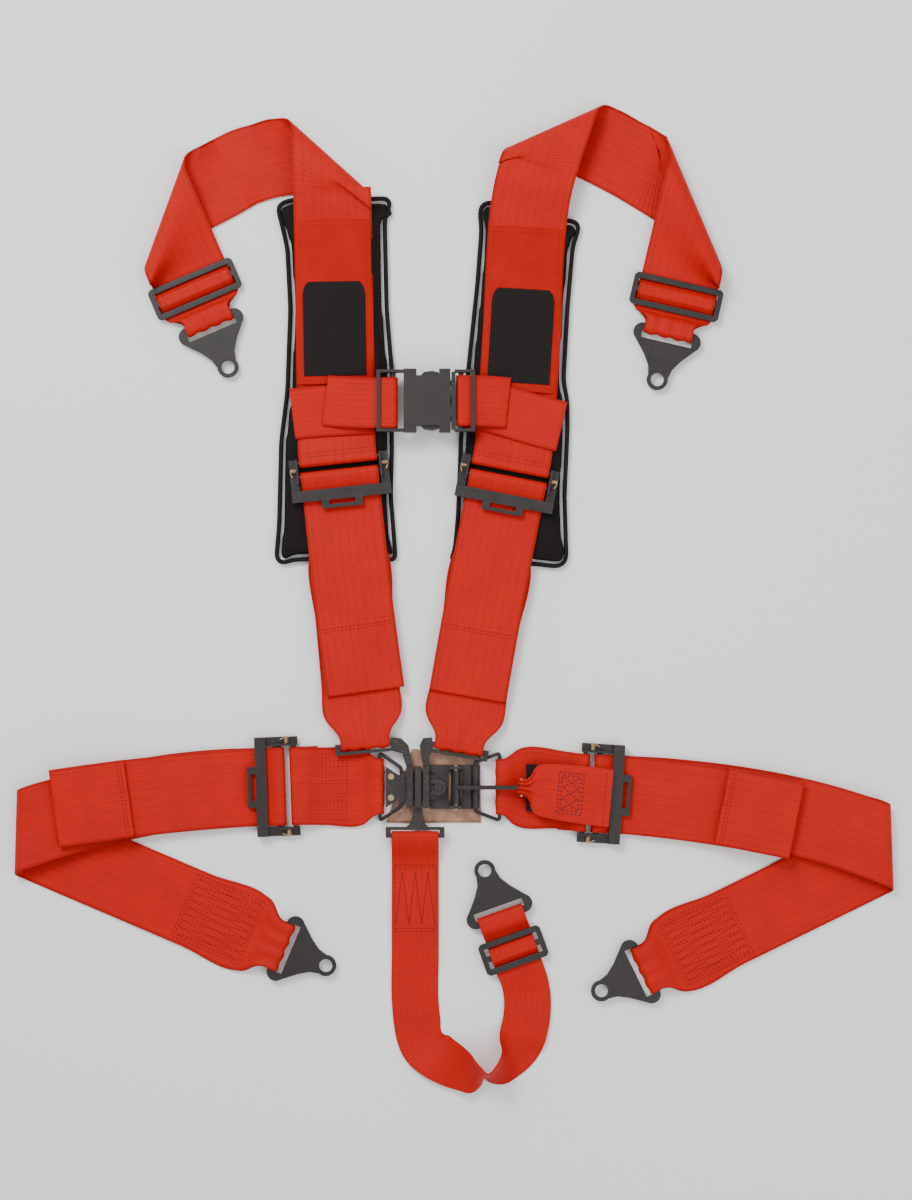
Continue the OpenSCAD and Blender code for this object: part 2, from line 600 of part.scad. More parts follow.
// ---- latch ----
base_z = 3.6;
base_t = 3;
pin_x = 2.2;
module latch_base() {
    color(BLACK) home() difference() {
        union() {
            translate([-22.6, buckle_y - 21.5, base_z]) cube([42, 43, base_t]);
            for (side = [-1, 1]) translate([pin_x - 6, buckle_y + side * 19.2 - 1.6, base_z])
                cube([12, 3.2, pin_z + 3.4 - base_z]);
            translate([barrel_x, buckle_y, barrel_z]) bar_along_y(4.2, 20.9);
            translate([post_x, buckle_y, base_z]) cylinder(r = 4, h = 11, $fn = 48);
        }
        translate([-5.4, buckle_y - 14, base_z - 1]) cube([14, 28, base_t + 2]);
        translate([barrel_x, buckle_y, barrel_z]) bar_along_y(1.9, 30);
        translate([pin_x, buckle_y, pin_z]) bar_along_y(2.05, 30);
    }
}
module latch_pin() {
    color(STEEL) home() translate([pin_x, buckle_y, pin_z]) bar_along_y(2, 21.6);
}
// An open ring round the post keeps the tongue down
module latch_fork() {
    color(BLACK) home() translate([post_x, buckle_y, tongue_z + plate_t / 2 + gap]) linear_extrude(2.6)
        difference() {
            union() {
                circle(r = 8, $fn = 48);
                for (side = [-1, 1]) translate([-8, side > 0 ? 4.6 : -7.6]) square([8, 3]);
            }
            circle(r = 4.05, $fn = 48);
            translate([-12, -3.6]) square([9, 7.2]);
        }
}
lever_z = pin_z + 3.6;
lever_end = pin_x + lever_l + 6;
module latch_lever() {
    color(BLACK) home() difference() {
        union() {
            translate([pin_x, buckle_y, pin_z]) bar_along_y(4.6, 16.8);
            translate([pin_x, buckle_y - 2, lever_z - 2.2]) cube([lever_l, 4, 4.4]);
            translate([lever_end - 6, buckle_y - 2, lever_z - 2.2]) cube([6, 4, 4.4]);
            translate([lever_end, buckle_y, lever_z]) bar_along_y(3.4, 2);
        }
        translate([pin_x, buckle_y, pin_z]) bar_along_y(2.06, 30);
        translate([lever_end, buckle_y, lever_z]) bar_along_y(1.55, 5);
    }
}
module pull_tab_pin() {
    color(STEEL) home() translate([lever_end, buckle_y, lever_z]) bar_along_y(1.5, 8.6);
}
tab_t = 3.2;
module pull_tab() {
    color(RED) home() translate([lever_end, buckle_y, lever_z]) difference() {
        translate([0, 0, -tab_t / 2 - 0.4]) linear_extrude(tab_t + 0.8) difference() {
            polygon([[-3.6, -7.4], [4, -7.4], [12, -24], [35, -26], [90, -34], [86, 20], [34, 23], [12, 22],
                [4, 7.4], [-3.6, 7.4]]);
            translate([-5, -2.4]) square([10, 4.8]);
        }
        bar_along_y(1.56, 10);
    }
}
module hook_patch() {
    color(BLACK) home() translate([71, buckle_y - 24, 4.7 + belt_t / 2]) cube([34, 46, 1.4]);
}
module backing_pad() {
    color(TAN) home() translate([0, 0, 0.1]) linear_extrude(2) polygon([[-66, -221], [-40, -150], [-25, -154],
        [26, -154], [27, -218], [20, -225], [-17, -226]]);
}

// ---- chest buckle ----
socket_left = -75;
socket_mouth = -3;
module webbing_frame(x, end_x) {
    for (side = [-1, 1]) translate([min(x, end_x), buckle_y0 + side * 28.7 - 1.5, buckle_z])
        cube([abs(end_x - x), 3, buckle_t]);
}
module chest_socket() {
    color(BLACK) home() {
        difference() {
            translate([-48.5, buckle_y0 - 31, buckle_z]) cube([socket_mouth + 48.5, 62, buckle_t]);
            translate([-44, buckle_y0 - 29.4, buckle_z + 2.4]) cube([50, 58.8, buckle_t - 4.8]);
            for (side = [-1, 1]) translate([-36, buckle_y0 + side * 30 - 5.5, buckle_z - 1])
                cube([22, 11, buckle_t + 2]);
        }
        webbing_frame(-47, socket_left);
        translate([socket_left, buckle_y0 - 28, buckle_z + buckle_t - 2]) cube([4, 56, 2]);
        translate([socket_bar_x, buckle_y0, buckle_mid_z]) bar_along_y(chest_bar_r, 28);
    }
}
module chest_plug() {
    color(BLACK) home() {
        difference() {
            translate([-2, buckle_y0 - 28, buckle_z]) cube([4, 56, buckle_t]);
            for (side = [-1, 1]) translate([-0.5, buckle_y0 + side * 17, buckle_mid_z])
                cylinder(r = 2.05, h = 20, center = true, $fn = 32);
            for (side = [-1, 1]) translate([-3, buckle_y0 + side * 17 - 4.5, buckle_mid_z - 3.3])
                cube([5, 9, 6.6]);
        }
        translate([-40, buckle_y0 - 4, buckle_mid_z - 2.5]) cube([40, 8, 5]);
        webbing_frame(1, 21);
        translate([17, buckle_y0 - 28, buckle_z + buckle_t - 2]) cube([4, 56, 2]);
        translate([plug_bar_x, buckle_y0, buckle_mid_z]) bar_along_y(chest_bar_r, 28);
    }
}
module prong(side) {
    color(BLACK) home() translate([-0.5, buckle_y0 + side * 17, buckle_mid_z]) {
        cylinder(r = 2, h = 11, center = true, $fn = 32);
        translate([0, 0, -3]) linear_extrude(6) scale([1, side]) polygon([[0.8, -2], [0.8, 2], [-12, 4],
            [-14, 10.5], [-20, 12], [-28, 11], [-36, 3], [-36, 0], [-12, -1]]);
    }
}
module chest_prong_upper() {
    prong(1);
}
module chest_prong_lower() {
    prong(-1);
}

shoulder_strap_left();
shoulder_strap_right();
shoulder_pad_left();
shoulder_pad_right();
pad_sleeve_left();
pad_sleeve_right();
chest_strap_left();
chest_strap_right();
chest_tail_right();
chest_socket();
chest_plug();
chest_prong_upper();
chest_prong_lower();
shoulder_adjuster_left();
shoulder_slide_bar_left();
shoulder_roll_left();
shoulder_springs_left();
shoulder_adjuster_right();
shoulder_slide_bar_right();
shoulder_roll_right();
shoulder_springs_right();
lap_adjuster_left();
lap_slide_bar_left();
lap_roll_left();
lap_springs_left();
lap_adjuster_right();
lap_slide_bar_right();
lap_roll_right();
lap_springs_right();
shoulder_lower_strap_left();
shoulder_lower_strap_right();
shoulder_link_left();
shoulder_link_right();
sub_link();
lap_tongue();
tongue_rivets();
lap_wire_left();
lap_wire_right();
latch_base();
latch_pin();
latch_fork();
latch_lever();
pull_tab_pin();
pull_tab();
hook_patch();
backing_pad();
lap_end_strap_left();
lap_end_strap_right();
lap_strap_left();
lap_strap_right();
sub_strap();
shoulder_slider_left();
shoulder_slider_right();
sub_slider();
shoulder_bracket_left();
shoulder_bracket_right();
lap_bracket_left();
lap_bracket_right();
sub_bracket();
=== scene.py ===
"""Five-point racing harness laid flat: belts, pads, chest buckle, adjusters and latch."""

import json
import math

import bmesh
import bpy
from mathutils import Matrix, Vector, noise
from mathutils.bvhtree import BVHTree


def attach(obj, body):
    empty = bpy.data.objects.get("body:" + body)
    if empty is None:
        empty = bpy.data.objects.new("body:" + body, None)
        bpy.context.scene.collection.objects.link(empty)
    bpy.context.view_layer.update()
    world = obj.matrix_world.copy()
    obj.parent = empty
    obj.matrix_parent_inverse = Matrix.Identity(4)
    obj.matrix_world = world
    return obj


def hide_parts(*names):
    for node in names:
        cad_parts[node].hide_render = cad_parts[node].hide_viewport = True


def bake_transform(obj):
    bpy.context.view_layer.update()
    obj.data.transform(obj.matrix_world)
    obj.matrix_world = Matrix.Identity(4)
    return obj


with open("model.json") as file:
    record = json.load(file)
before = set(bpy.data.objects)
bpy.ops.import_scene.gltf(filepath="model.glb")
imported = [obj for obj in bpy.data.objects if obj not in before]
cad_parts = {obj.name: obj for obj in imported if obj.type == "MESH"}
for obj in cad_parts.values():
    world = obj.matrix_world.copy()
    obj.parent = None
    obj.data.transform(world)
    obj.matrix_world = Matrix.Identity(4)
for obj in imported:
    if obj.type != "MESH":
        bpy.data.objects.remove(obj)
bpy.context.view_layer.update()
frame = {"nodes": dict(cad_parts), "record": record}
BODY_OF = {n: body for body, nodes in frame["record"]["behaviour"]["bodies"].items() for n in nodes}

# Belt sizes and heights in millimetres, the same as in the part
BELT_W, BELT_T, SUB_W, GATHER_W = 76.2, 1.6, 46, 48
CHEST_W, CHEST_T = 49.5, 1.4
CENTRE = Vector((0.65, -2.71, 0))
LATCH_Y = -186.7
STRAP_Z, FLOOR_Z, UNDER_Z, BRACKET_TOP = 11.9, 0.9, 4.9, 11.5


def home(point):
    """A point in the belts' millimetres, in the row frame's metres."""
    return (Vector(point) - CENTRE) / 1000


# ---------------------------------------------------------------- materials
class Value:
    """A shader socket that can be added, multiplied and so on."""

    def __init__(self, shade, socket):
        self.shade, self.socket = shade, socket

    def _do(self, operation, *values):
        return self.shade.math(operation, *values)

    def __add__(self, other):
        return self._do("ADD", self, other)

    def __sub__(self, other):
        return self._do("SUBTRACT", self, other)

    def __mul__(self, other):
        return self._do("MULTIPLY", self, other)

    def __truediv__(self, other):
        return self._do("DIVIDE", self, other)

    def __radd__(self, other):
        return self._do("ADD", other, self)

    def __rsub__(self, other):
        return self._do("SUBTRACT", other, self)

    def __rmul__(self, other):
        return self._do("MULTIPLY", other, self)

    def __rtruediv__(self, other):
        return self._do("DIVIDE", other, self)


class Shade:
    """A material under construction."""

    def __init__(self, name):
        self.material = bpy.data.materials.new(name)
        self.material.use_nodes = True
        self.nodes = self.material.node_tree.nodes
        self.links = self.material.node_tree.links
        self.nodes.clear()

    def node(self, kind, settings=None, inputs=None):
        node = self.nodes.new(kind)
        for key, value in (settings or {}).items():
            setattr(node, key, value)
        for key, value in (inputs or {}).items():
            socket = node.inputs[key]
            if isinstance(value, Value):
                self.links.new(value.socket, socket)
            else:
                socket.default_value = value
        return node

    def value(self, node, output=0):
        return Value(self, node.outputs[output])

    def math(self, operation, *values):
        return self.value(self.node("ShaderNodeMath", {"operation": operation}, dict(enumerate(values))))

    def mix(self, factor, a, b):
        node = self.node("ShaderNodeMix", {"data_type": "RGBA"})
        for index, value in ((0, factor), (6, a), (7, b)):
            if isinstance(value, Value):
                self.links.new(value.socket, node.inputs[index])
            else:
                node.inputs[index].default_value = value
        return self.value(node, 2)

    def ramp(self, value, low, high):
        node = self.node(
            "ShaderNodeMapRange",
            {"clamp": True},
            {"Value": value, "From Min": low, "From Max": high, "To Min": 0.0, "To Max": 1.0},
        )
        return self.value(node)

    def object_point(self):
        return self.value(self.node("ShaderNodeTexCoord"), "Object")

    def along_across(self):
        """The belt's own coordinates: metres along it and across from its middle."""
        uv = self.value(self.node("ShaderNodeTexCoord"), "UV")
        split = self.node("ShaderNodeSeparateXYZ", None, {"Vector": uv})
        return self.value(split, 0), self.value(split, 1)

    def noise(self, point, scale, detail=3.0, roughness=0.55):
        node = self.node(
            "ShaderNodeTexNoise", None, {"Vector": point, "Scale": scale, "Detail": detail, "Roughness": roughness}
        )
        return self.value(node)

    def cells(self, point, scale):
        return self.value(self.node("ShaderNodeTexVoronoi", None, {"Vector": point, "Scale": scale}))

    def wave(self, value, pitch):
        return self.math("SINE", value * (2 * math.pi / pitch)) * 0.5 + 0.5

    def finish(self, colour, roughness, height=None, depth=0.0002, **shader):
        principled = self.node("ShaderNodeBsdfPrincipled")
        for name, value in (("Base Color", colour), ("Roughness", roughness)):
            if isinstance(value, Value):
                self.links.new(value.socket, principled.inputs[name])
            else:
                principled.inputs[name].default_value = value
        for name, value in shader.items():
            principled.inputs[name.replace("_", " ")].default_value = value
        if height is not None:
            bump = self.node("ShaderNodeBump", None, {"Height": height, "Distance": depth, "Strength": 1.0})
            self.links.new(bump.outputs["Normal"], principled.inputs["Normal"])
        output = self.node("ShaderNodeOutputMaterial")
        self.links.new(principled.outputs[0], output.inputs["Surface"])
        return self.material


def webbing(name, bright, deep, half_width):
    """Ribbed belt webbing with a tubular selvedge down each edge."""
    s = Shade(name)
    along, across = s.along_across()
    ribs = s.wave(along, 0.0021)
    warps = s.wave(across, 0.0026)
    cross = s.math("MULTIPLY", ribs, warps)
    edge = s.ramp(s.math("ABSOLUTE", across), half_width - 0.0032, half_width - 0.0018)
    lines = s.ramp(s.wave(across, half_width * 2 / 9), 0.93, 1.0)
    worn = s.noise(s.object_point(), 38.0, 4.0)
    base = s.mix(worn, (*deep, 1), (*bright, 1))
    base = s.mix(cross * 0.35 + lines * 0.18, base, tuple(c * 0.55 for c in deep) + (1,))
    base = s.mix(edge * 0.35, base, tuple(c * 0.6 for c in deep) + (1,))
    height = ribs * 0.7 + warps * 0.3 - lines * 0.4 + edge * s.wave(along, 0.0012)
    return s.finish(base, worn * 0.2 + 0.5, height, 0.00022, Specular_IOR_Level=0.18)


def twill(name, bright, deep, pitch):
    s = Shade(name)
    along, across = s.along_across()
    diagonal = s.wave(along + across * 0.6, pitch)
    yarn = s.wave(across, pitch * 0.55)
    worn = s.noise(s.object_point(), 45.0, 4.0)
    base = s.mix(worn, (*deep, 1), (*bright, 1))
    base = s.mix(diagonal * yarn * 0.4, base, tuple(c * 0.5 for c in deep) + (1,))
    return s.finish(base, 0.72, diagonal + yarn * 0.4, 0.00018, Specular_IOR_Level=0.15)


def plain_weave(name, bright, deep, pitch, roughness=0.8, depth=0.00025):
    """Coarse plain weave from the object's own coordinates."""
    s = Shade(name)
    point = s.object_point()
    split = s.node("ShaderNodeSeparateXYZ", None, {"Vector": point})
    x, y = s.value(split, 0), s.value(split, 1)
    weave = s.wave(x + y, pitch) * 0.5 + s.wave(x - y, pitch) * 0.5
    fuzz = s.noise(point, 900.0, 2.0)
    cloud = s.noise(point, 24.0, 4.0)
    base = s.mix(cloud * 0.6 + weave * 0.35, (*deep, 1), (*bright, 1))
    return s.finish(base, roughness, weave + fuzz * 0.5, depth, Specular_IOR_Level=0.2)


def coated_metal(name, bright, deep, roughness, speckle, metallic=0.0):
    """Powder coat with an orange-peel skin, dust specks and rubbed places."""
    s = Shade(name)
    point = s.object_point()
    peel = s.noise(point, 1400.0, 2.0)
    rubbed = s.noise(point, 90.0, 5.0, 0.65)
    specks = s.ramp(s.cells(point, 520.0), 0.16, 0.05) * speckle
    base = s.mix(s.ramp(rubbed, 0.35, 0.75), (*deep, 1), (*bright, 1))
    base = s.mix(specks, base, (0.36, 0.30, 0.27, 1))
    return s.finish(
        base, s.ramp(rubbed, 0.2, 0.9) * 0.25 + roughness, peel + specks * 0.4, 0.00008, Metallic=metallic
    )


def bare_metal(name, bright, deep, roughness):
    s = Shade(name)
    point = s.object_point()
    grain = s.noise(point, 700.0, 3.0)
    base = s.mix(grain, (*deep, 1), (*bright, 1))
    return s.finish(base, grain * 0.2 + roughness, grain, 0.00004, Metallic=1.0)


def thread(name, colour):
    s = Shade(name)
    ply = s.noise(s.object_point(), 1500.0, 2.0)
    base = s.mix(ply, (*(c * 0.6 for c in colour), 1), (*colour, 1))
    return s.finish(base, 0.6, ply, 0.0001)


RED, DEEP_RED = (0.62, 0.006, 0.001), (0.42, 0.003, 0.0006)
MATERIALS = {
    "belt": webbing("red_webbing_3in", RED, DEEP_RED, BELT_W / 2000),
    "chest_belt": webbing("red_webbing_2in", RED, DEEP_RED, CHEST_W / 2000),
    "twill": twill("red_twill", (0.56, 0.006, 0.001), (0.36, 0.003, 0.0006), 0.0022),
    "pad": plain_weave("pad_fabric", (0.010, 0.006, 0.006), (0.003, 0.002, 0.002), 0.0022),
    "label": plain_weave("label_fabric", (0.012, 0.007, 0.007), (0.003, 0.002, 0.002), 0.0012, 0.6),
    "hook": plain_weave("hook_fabric", (0.03, 0.024, 0.026), (0.004, 0.004, 0.005), 0.0018, 0.7, 0.0006),
    "steel": coated_metal("black_powder_coat", (0.018, 0.010, 0.009), (0.006, 0.0035, 0.0035), 0.3, 0.3),
    "glossy": coated_metal("black_gloss_coat", (0.012, 0.007, 0.0065), (0.005, 0.003, 0.003), 0.2, 0.05),
    "rough": coated_metal("sandy_powder_coat", (0.03, 0.019, 0.017), (0.008, 0.005, 0.005), 0.42, 0.9),
    "plastic": coated_metal("black_nylon", (0.018, 0.010, 0.008), (0.008, 0.0045, 0.004), 0.34, 0.02),
    "spring": bare_metal("tan_spring_wire", (0.62, 0.44, 0.28), (0.34, 0.2, 0.11), 0.32),
    "pin": bare_metal("bright_pin", (0.72, 0.68, 0.66), (0.4, 0.37, 0.36), 0.25),
    "film": coated_metal("copper_film", (0.50, 0.27, 0.17), (0.26, 0.12, 0.07), 0.1, 0.1),
    "red_thread": thread("dark_red_thread", (0.11, 0.002, 0.002)),
    "navy_thread": thread("navy_thread", (0.012, 0.010, 0.022)),
    "black_thread": thread("black_thread", (0.012, 0.008, 0.008)),
    "piping": plain_weave("pad_binding", (0.011, 0.007, 0.0065), (0.003, 0.002, 0.002), 0.0016, 0.6),
}


# ---------------------------------------------------------------- meshes
def piece(name, mesh, material, body, node=None):
    obj = bpy.data.objects.new(name, mesh)
    bpy.context.scene.collection.objects.link(obj)
    mesh.materials.append(MATERIALS[material])
    mesh.polygons.foreach_set("use_smooth", [True] * len(mesh.polygons))
    if body is not None:
        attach(obj, body)
    if node is not None:
        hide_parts(*([node] if isinstance(node, str) else node))
    return obj


def modifier(obj, kind, **settings):
    added = obj.modifiers.new(kind.lower(), kind)
    for key, value in settings.items():
        setattr(added, key, value)
    return added


def softened(node, material, width=0.0006, segments=2):
    """A CAD metal or plastic node with its edges rounded over."""
    mesh = frame["nodes"][node].data.copy()
    mesh.name = node + "_rounded"
    mesh.materials.clear()
    bm = bmesh.new()
    bm.from_mesh(mesh)
    bmesh.ops.remove_doubles(bm, verts=bm.verts, dist=0.00001)
    bmesh.ops.dissolve_limit(bm, angle_limit=math.radians(2), verts=bm.verts, edges=bm.edges)
    bm.to_mesh(mesh)
    bm.free()
    obj = piece(node + "_finished", mesh, material, BODY_OF[node], node)
    modifier(
        obj, "BEVEL", width=width, segments=segments, limit_method="ANGLE",
        angle_limit=math.radians(32), use_clamp_overlap=True, harden_normals=False,
    )
    modifier(obj, "WEIGHTED_NORMAL", keep_sharp=True)
    return obj


def tube(points, radius, sides=8, closed=False):
    """Mesh of a round wire through these points, in metres."""
    bm = bmesh.new()
    count = len(points)
    rings = []
    side = None
    for i, p in enumerate(points):
        before = points[i - 1] if i or closed else points[0]
        after = points[(i + 1) % count] if i < count - 1 or closed else points[-1]
        direction = (Vector(after) - Vector(before)).normalized()
        if side is None:
            side = direction.orthogonal()
        side = (side - direction * side.dot(direction)).normalized()
        up = direction.cross(side)
        rings.append(
            [
                bm.verts.new(Vector(p) + (side * math.cos(a) + up * math.sin(a)) * radius)
                for a in (2 * math.pi * k / sides for k in range(sides))
            ]
        )
    pairs = list(zip(rings, rings[1:]))
    if closed:
        pairs.append((rings[-1], rings[0]))
    for a, b in pairs:
        for k in range(sides):
            bm.faces.new((a[k], a[(k + 1) % sides], b[(k + 1) % sides], b[k]))
    if not closed:
        bm.faces.new(list(reversed(rings[0])))
        bm.faces.new(rings[-1])
    bmesh.ops.recalc_face_normals(bm, faces=bm.faces)
    mesh = bpy.data.meshes.new("wire")
    bm.to_mesh(mesh)
    bm.free()
    return mesh


def rounded_path(points, step=0.0015):
    """Closely spaced points along a polyline, with its corners eased."""
    dense = []
    for a, b in zip(points, points[1:]):
        a, b = Vector(a), Vector(b)
        n = max(1, round((b - a).length / step))
        dense += [a.lerp(b, k / n) for k in range(n)]
    dense.append(Vector(points[-1]))
    for _ in range(3):
        dense = [dense[0]] + [(p + q * 2 + r) / 4 for p, q, r in zip(dense, dense[1:], dense[2:])] + [dense[-1]]
    return dense


# ---------------------------------------------------------------- belts
# The same steps as the part's belts, with more stations
def turned(axis, degrees):
    return Matrix.Rotation(math.radians(degrees), 4, axis)


def shift(x, y, z):
    return Matrix.Translation((x, y, z))


def level(x, y, z, heading, up=True):
    return shift(x, y, z) @ turned("Z", heading) @ turned("X", 0 if up else 180)


def heading(m):
    return math.degrees(math.atan2(m[1][0], m[0][0]))


def lay(length, z, steer=0, n=1, w=BELT_W):
    return ("lay", length, z, steer, n, w)


def roll(slant, radius, side, turn=180):
    return ("roll", slant, radius, side, turn)


def twist(length, bend, steer, turn, n, w=SUB_W):
    return ("twist", length, bend, steer, turn, n, w)


def rolled(m, s, share):
    _, slant, radius, side, turn = s
    angle = math.radians(turn * share)
    a = math.radians(slant)
    along = radius * angle * math.tan(a)
    out, up = radius * math.sin(angle), side * radius * (1 - math.cos(angle))
    place = shift(along * math.sin(a) + out * math.cos(a), along * math.cos(a) - out * math.sin(a), up)
    return m @ place @ turned("Z", -slant) @ turned("Y", -side * turn * share) @ turned("Z", slant)


def walk(m, width, steps, z_offset=0.0):
    """Edge points of a belt: (left, right, direction or None, width, step number)."""
    rows = []

    def add(frame_here, slant, w, direction, k):
        t = math.tan(math.radians(slant))
        left = frame_here @ Vector((w / 2 * t, w / 2, z_offset))
        right = frame_here @ Vector((-w / 2 * t, -w / 2, z_offset))
        rows.append((left, right, direction, w, k))

    after_roll = False
    for k, s in enumerate(steps):
        if s[0] == "roll":
            n = 16
            for i in range(n + 1):
                here = rolled(m, s, i / n)
                add(here, s[1], width, (here.to_3x3() @ Vector((1, 0, 0))).normalized(), k)
            m = rolled(m, s, 1)
            after_roll = True
            continue
        n, w1 = s[-2], s[-1]
        start_z, here = m.translation.z, m
        for i in range(n):
            if i or not after_roll:
                add(here, 0, width + (w1 - width) * i / n, None, k)
            if s[0] == "lay":
                h, l = heading(here) + s[3] / n, s[1] / n
                x = here.translation.x + l * math.cos(math.radians(h))
                y = here.translation.y + l * math.sin(math.radians(h))
                here = level(x, y, start_z + (s[2] - start_z) * (i + 1) / n, h, here[2][2] > 0)
            else:
                turns = turned("X", s[4] / n) @ turned("Y", s[2] / n) @ turned("Z", s[3] / n)
                here = here @ turns @ shift(s[1] / n, 0, 0)
        m, width, after_roll = here, w1, False
    if not after_roll:
        add(m, 0, width, None, len(steps))
    return rows


def end_frame(m, steps):
    for s in steps:
        if s[0] == "roll":
            m = rolled(m, s, 1)
            continue
        n = s[-2]
        start_z = m.translation.z
        for i in range(n):
            if s[0] == "lay":
                h, l = heading(m) + s[3] / n, s[1] / n
                x = m.translation.x + l * math.cos(math.radians(h))
                y = m.translation.y + l * math.sin(math.radians(h))
                m = level(x, y, start_z + (s[2] - start_z) * (i + 1) / n, h, m[2][2] > 0)
            else:
                turn = turned("X", s[4] / n) @ turned("Y", s[2] / n) @ turned("Z", s[3] / n)
                m = m @ turn @ shift(s[1] / n, 0, 0)
    return m


def backwards(rows):
    """The same belt walked from its other end, still with its face up."""
    return [(right, left, None if d is None else -d, w, k) for left, right, d, w, k in reversed(rows)]


def joined(first, second):
    """Two lengths of the same belt whose ends meet."""
    return first[:-1] + second[1:]


def curve(p0, p1, d0, d1, t):
    reach = (p1 - p0).length
    h = t * t * (3 - 2 * t)
    return p0.lerp(p1, h) + d0 * reach * t * (1 - t) ** 2 - d1 * reach * t * t * (1 - t)


class Belt:
    """A smooth ribbon through edge points, in the belts' millimetres."""

    def __init__(self, rows, thickness, full_width, pleats=0.0, ripple=0.0, crown=0.0, seed=0.0):
        self.thickness, self.full_width = thickness, full_width
        self.pleats, self.ripple, self.crown, self.seed = pleats, ripple, crown, seed
        self.lefts, self.rights, self.alongs, self.starts = [], [], [], {}
        directions = self._directions(rows)
        distance, ends = 0.0, {}
        for i, row in enumerate(rows):
            self.starts.setdefault(row[4], distance)
            ends[row[4]] = distance
            if i == len(rows) - 1:
                self._add(row[0], row[1], distance)
                break
            after = rows[i + 1]
            reach = ((after[0] + after[1]) / 2 - (row[0] + row[1]) / 2).length
            n = max(1, round(reach / 3.0))
            for j in range(n):
                t = j / n
                left = curve(row[0], after[0], directions[i][0], directions[i + 1][0], t)
                right = curve(row[1], after[1], directions[i][1], directions[i + 1][1], t)
                self._add(left, right, distance + reach * t)
            distance += reach
        self.length = distance
        for step, end in ends.items():
            self.starts.setdefault(step + 1, end)

    def _add(self, left, right, distance):
        self.lefts.append(left)
        self.rights.append(right)
        self.alongs.append(distance)

    @staticmethod
    def _directions(rows):
        found = []
        for i, row in enumerate(rows):
            if row[2] is not None:
                found.append((row[2], row[2]))
                continue
            pair = []
            for edge in (0, 1):
                here = row[edge]
                steps = [r[edge] - here for r in rows[i + 1 : i + 2]]
                back = [here - r[edge] for r in rows[max(i - 1, 0) : i]]
                if steps and back:
                    ahead, behind = steps[0], back[0]
                    mixed = ahead.normalized() * behind.length + behind.normalized() * ahead.length
                    pair.append(mixed.normalized())
                else:
                    pair.append((steps or back)[0].normalized())
            found.append(tuple(pair))
        return found

    def normal(self, i):
        a, b = max(i - 1, 0), min(i + 1, len(self.lefts) - 1)
        ahead = (self.lefts[b] + self.rights[b]) - (self.lefts[a] + self.rights[a])
        return ahead.cross(self.lefts[i] - self.rights[i]).normalized()

    def offset(self, i, v):
        """How far the cloth stands off its middle surface, at v from -1 right to 1 left."""
        width = (self.lefts[i] - self.rights[i]).length
        slack = max(0.0, 1 - width / self.full_width) / 0.37
        lift = -self.crown * abs(v) ** 5
        lift += self.pleats * min(slack, 1.5) * math.cos(math.pi * 3.5 * v + self.seed)
        if self.ripple:
            point = Vector((self.alongs[i] / 55, v * 0.9, self.seed))
            lift += self.ripple * noise.noise(point)
        return lift

    def surface(self, along, across):
        """Point and normal on the middle surface; across is in millimetres from the middle."""
        low, high = 0, len(self.alongs) - 1
        while high - low > 1:
            middle = (low + high) // 2
            low, high = (middle, high) if self.alongs[middle] <= along else (low, middle)
        gap = self.alongs[high] - self.alongs[low]
        t = (along - self.alongs[low]) / gap if gap else 0.0
        left, right = self.lefts[low].lerp(self.lefts[high], t), self.rights[low].lerp(self.rights[high], t)
        v = max(-1.0, min(1.0, 2 * across / (left - right).length))
        normal = self.normal(low).lerp(self.normal(high), t).normalized()
        return right.lerp(left, (v + 1) / 2) + normal * self.offset(low, v), normal

    def sheet(self, columns=16):
        """One-sided mesh with along and across as its UV."""
        bm = bmesh.new()
        uv = bm.loops.layers.uv.new("belt")
        grid, places = [], {}
        for i, (left, right) in enumerate(zip(self.lefts, self.rights)):
            normal = self.normal(i)
            width = (left - right).length
            line = []
            for c in range(columns + 1):
                v = 2 * c / columns - 1
                p = right.lerp(left, c / columns) + normal * self.offset(i, v)
                p.z = max(p.z, 0.1 + self.thickness / 2 * abs(normal.z))
                vert = bm.verts.new(home(p))
                places[vert] = (self.alongs[i] / 1000, v * self.full_width / 2000)
                line.append(vert)
            grid.append(line)
        for a, b in zip(grid, grid[1:]):
            for c in range(columns):
                face = bm.faces.new((a[c], b[c], b[c + 1], a[c + 1]))
                for loop in face.loops:
                    loop[uv].uv = places[loop.vert]
        mesh = bpy.data.meshes.new("belt")
        bm.to_mesh(mesh)
        bm.free()
        return mesh

    def flat(self):
        return (self.full_width / 1000, self.length / 1000)

    def flat_area(self):
        widths = [(a - b).length for a, b in zip(self.lefts, self.rights)]
        steps = [b - a for a, b in zip(self.alongs, self.alongs[1:])]
        return sum(min(w, self.full_width) * s for w, s in zip(widths, steps)) / 1e6


def lay_belt(name, belt, material, body, nodes, blend=None, columns=16):
    obj = piece(name, belt.sheet(columns), material, None if blend else body, nodes)
    modifier(obj, "SOLIDIFY", thickness=belt.thickness / 1000, offset=0.0)
    modifier(obj, "BEVEL", width=0.0004, segments=2, limit_method="ANGLE", angle_limit=math.radians(60))
    if blend:
        apply_modifiers(obj)
        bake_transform(obj)
    belt.flat()
    min(belt.flat_area(), belt.flat()[0] * belt.flat()[1])
    return obj


def apply_modifiers(obj):
    graph = bpy.context.evaluated_depsgraph_get()
    mesh = bpy.data.meshes.new_from_object(obj.evaluated_get(graph))
    obj.modifiers.clear()
    obj.data = mesh


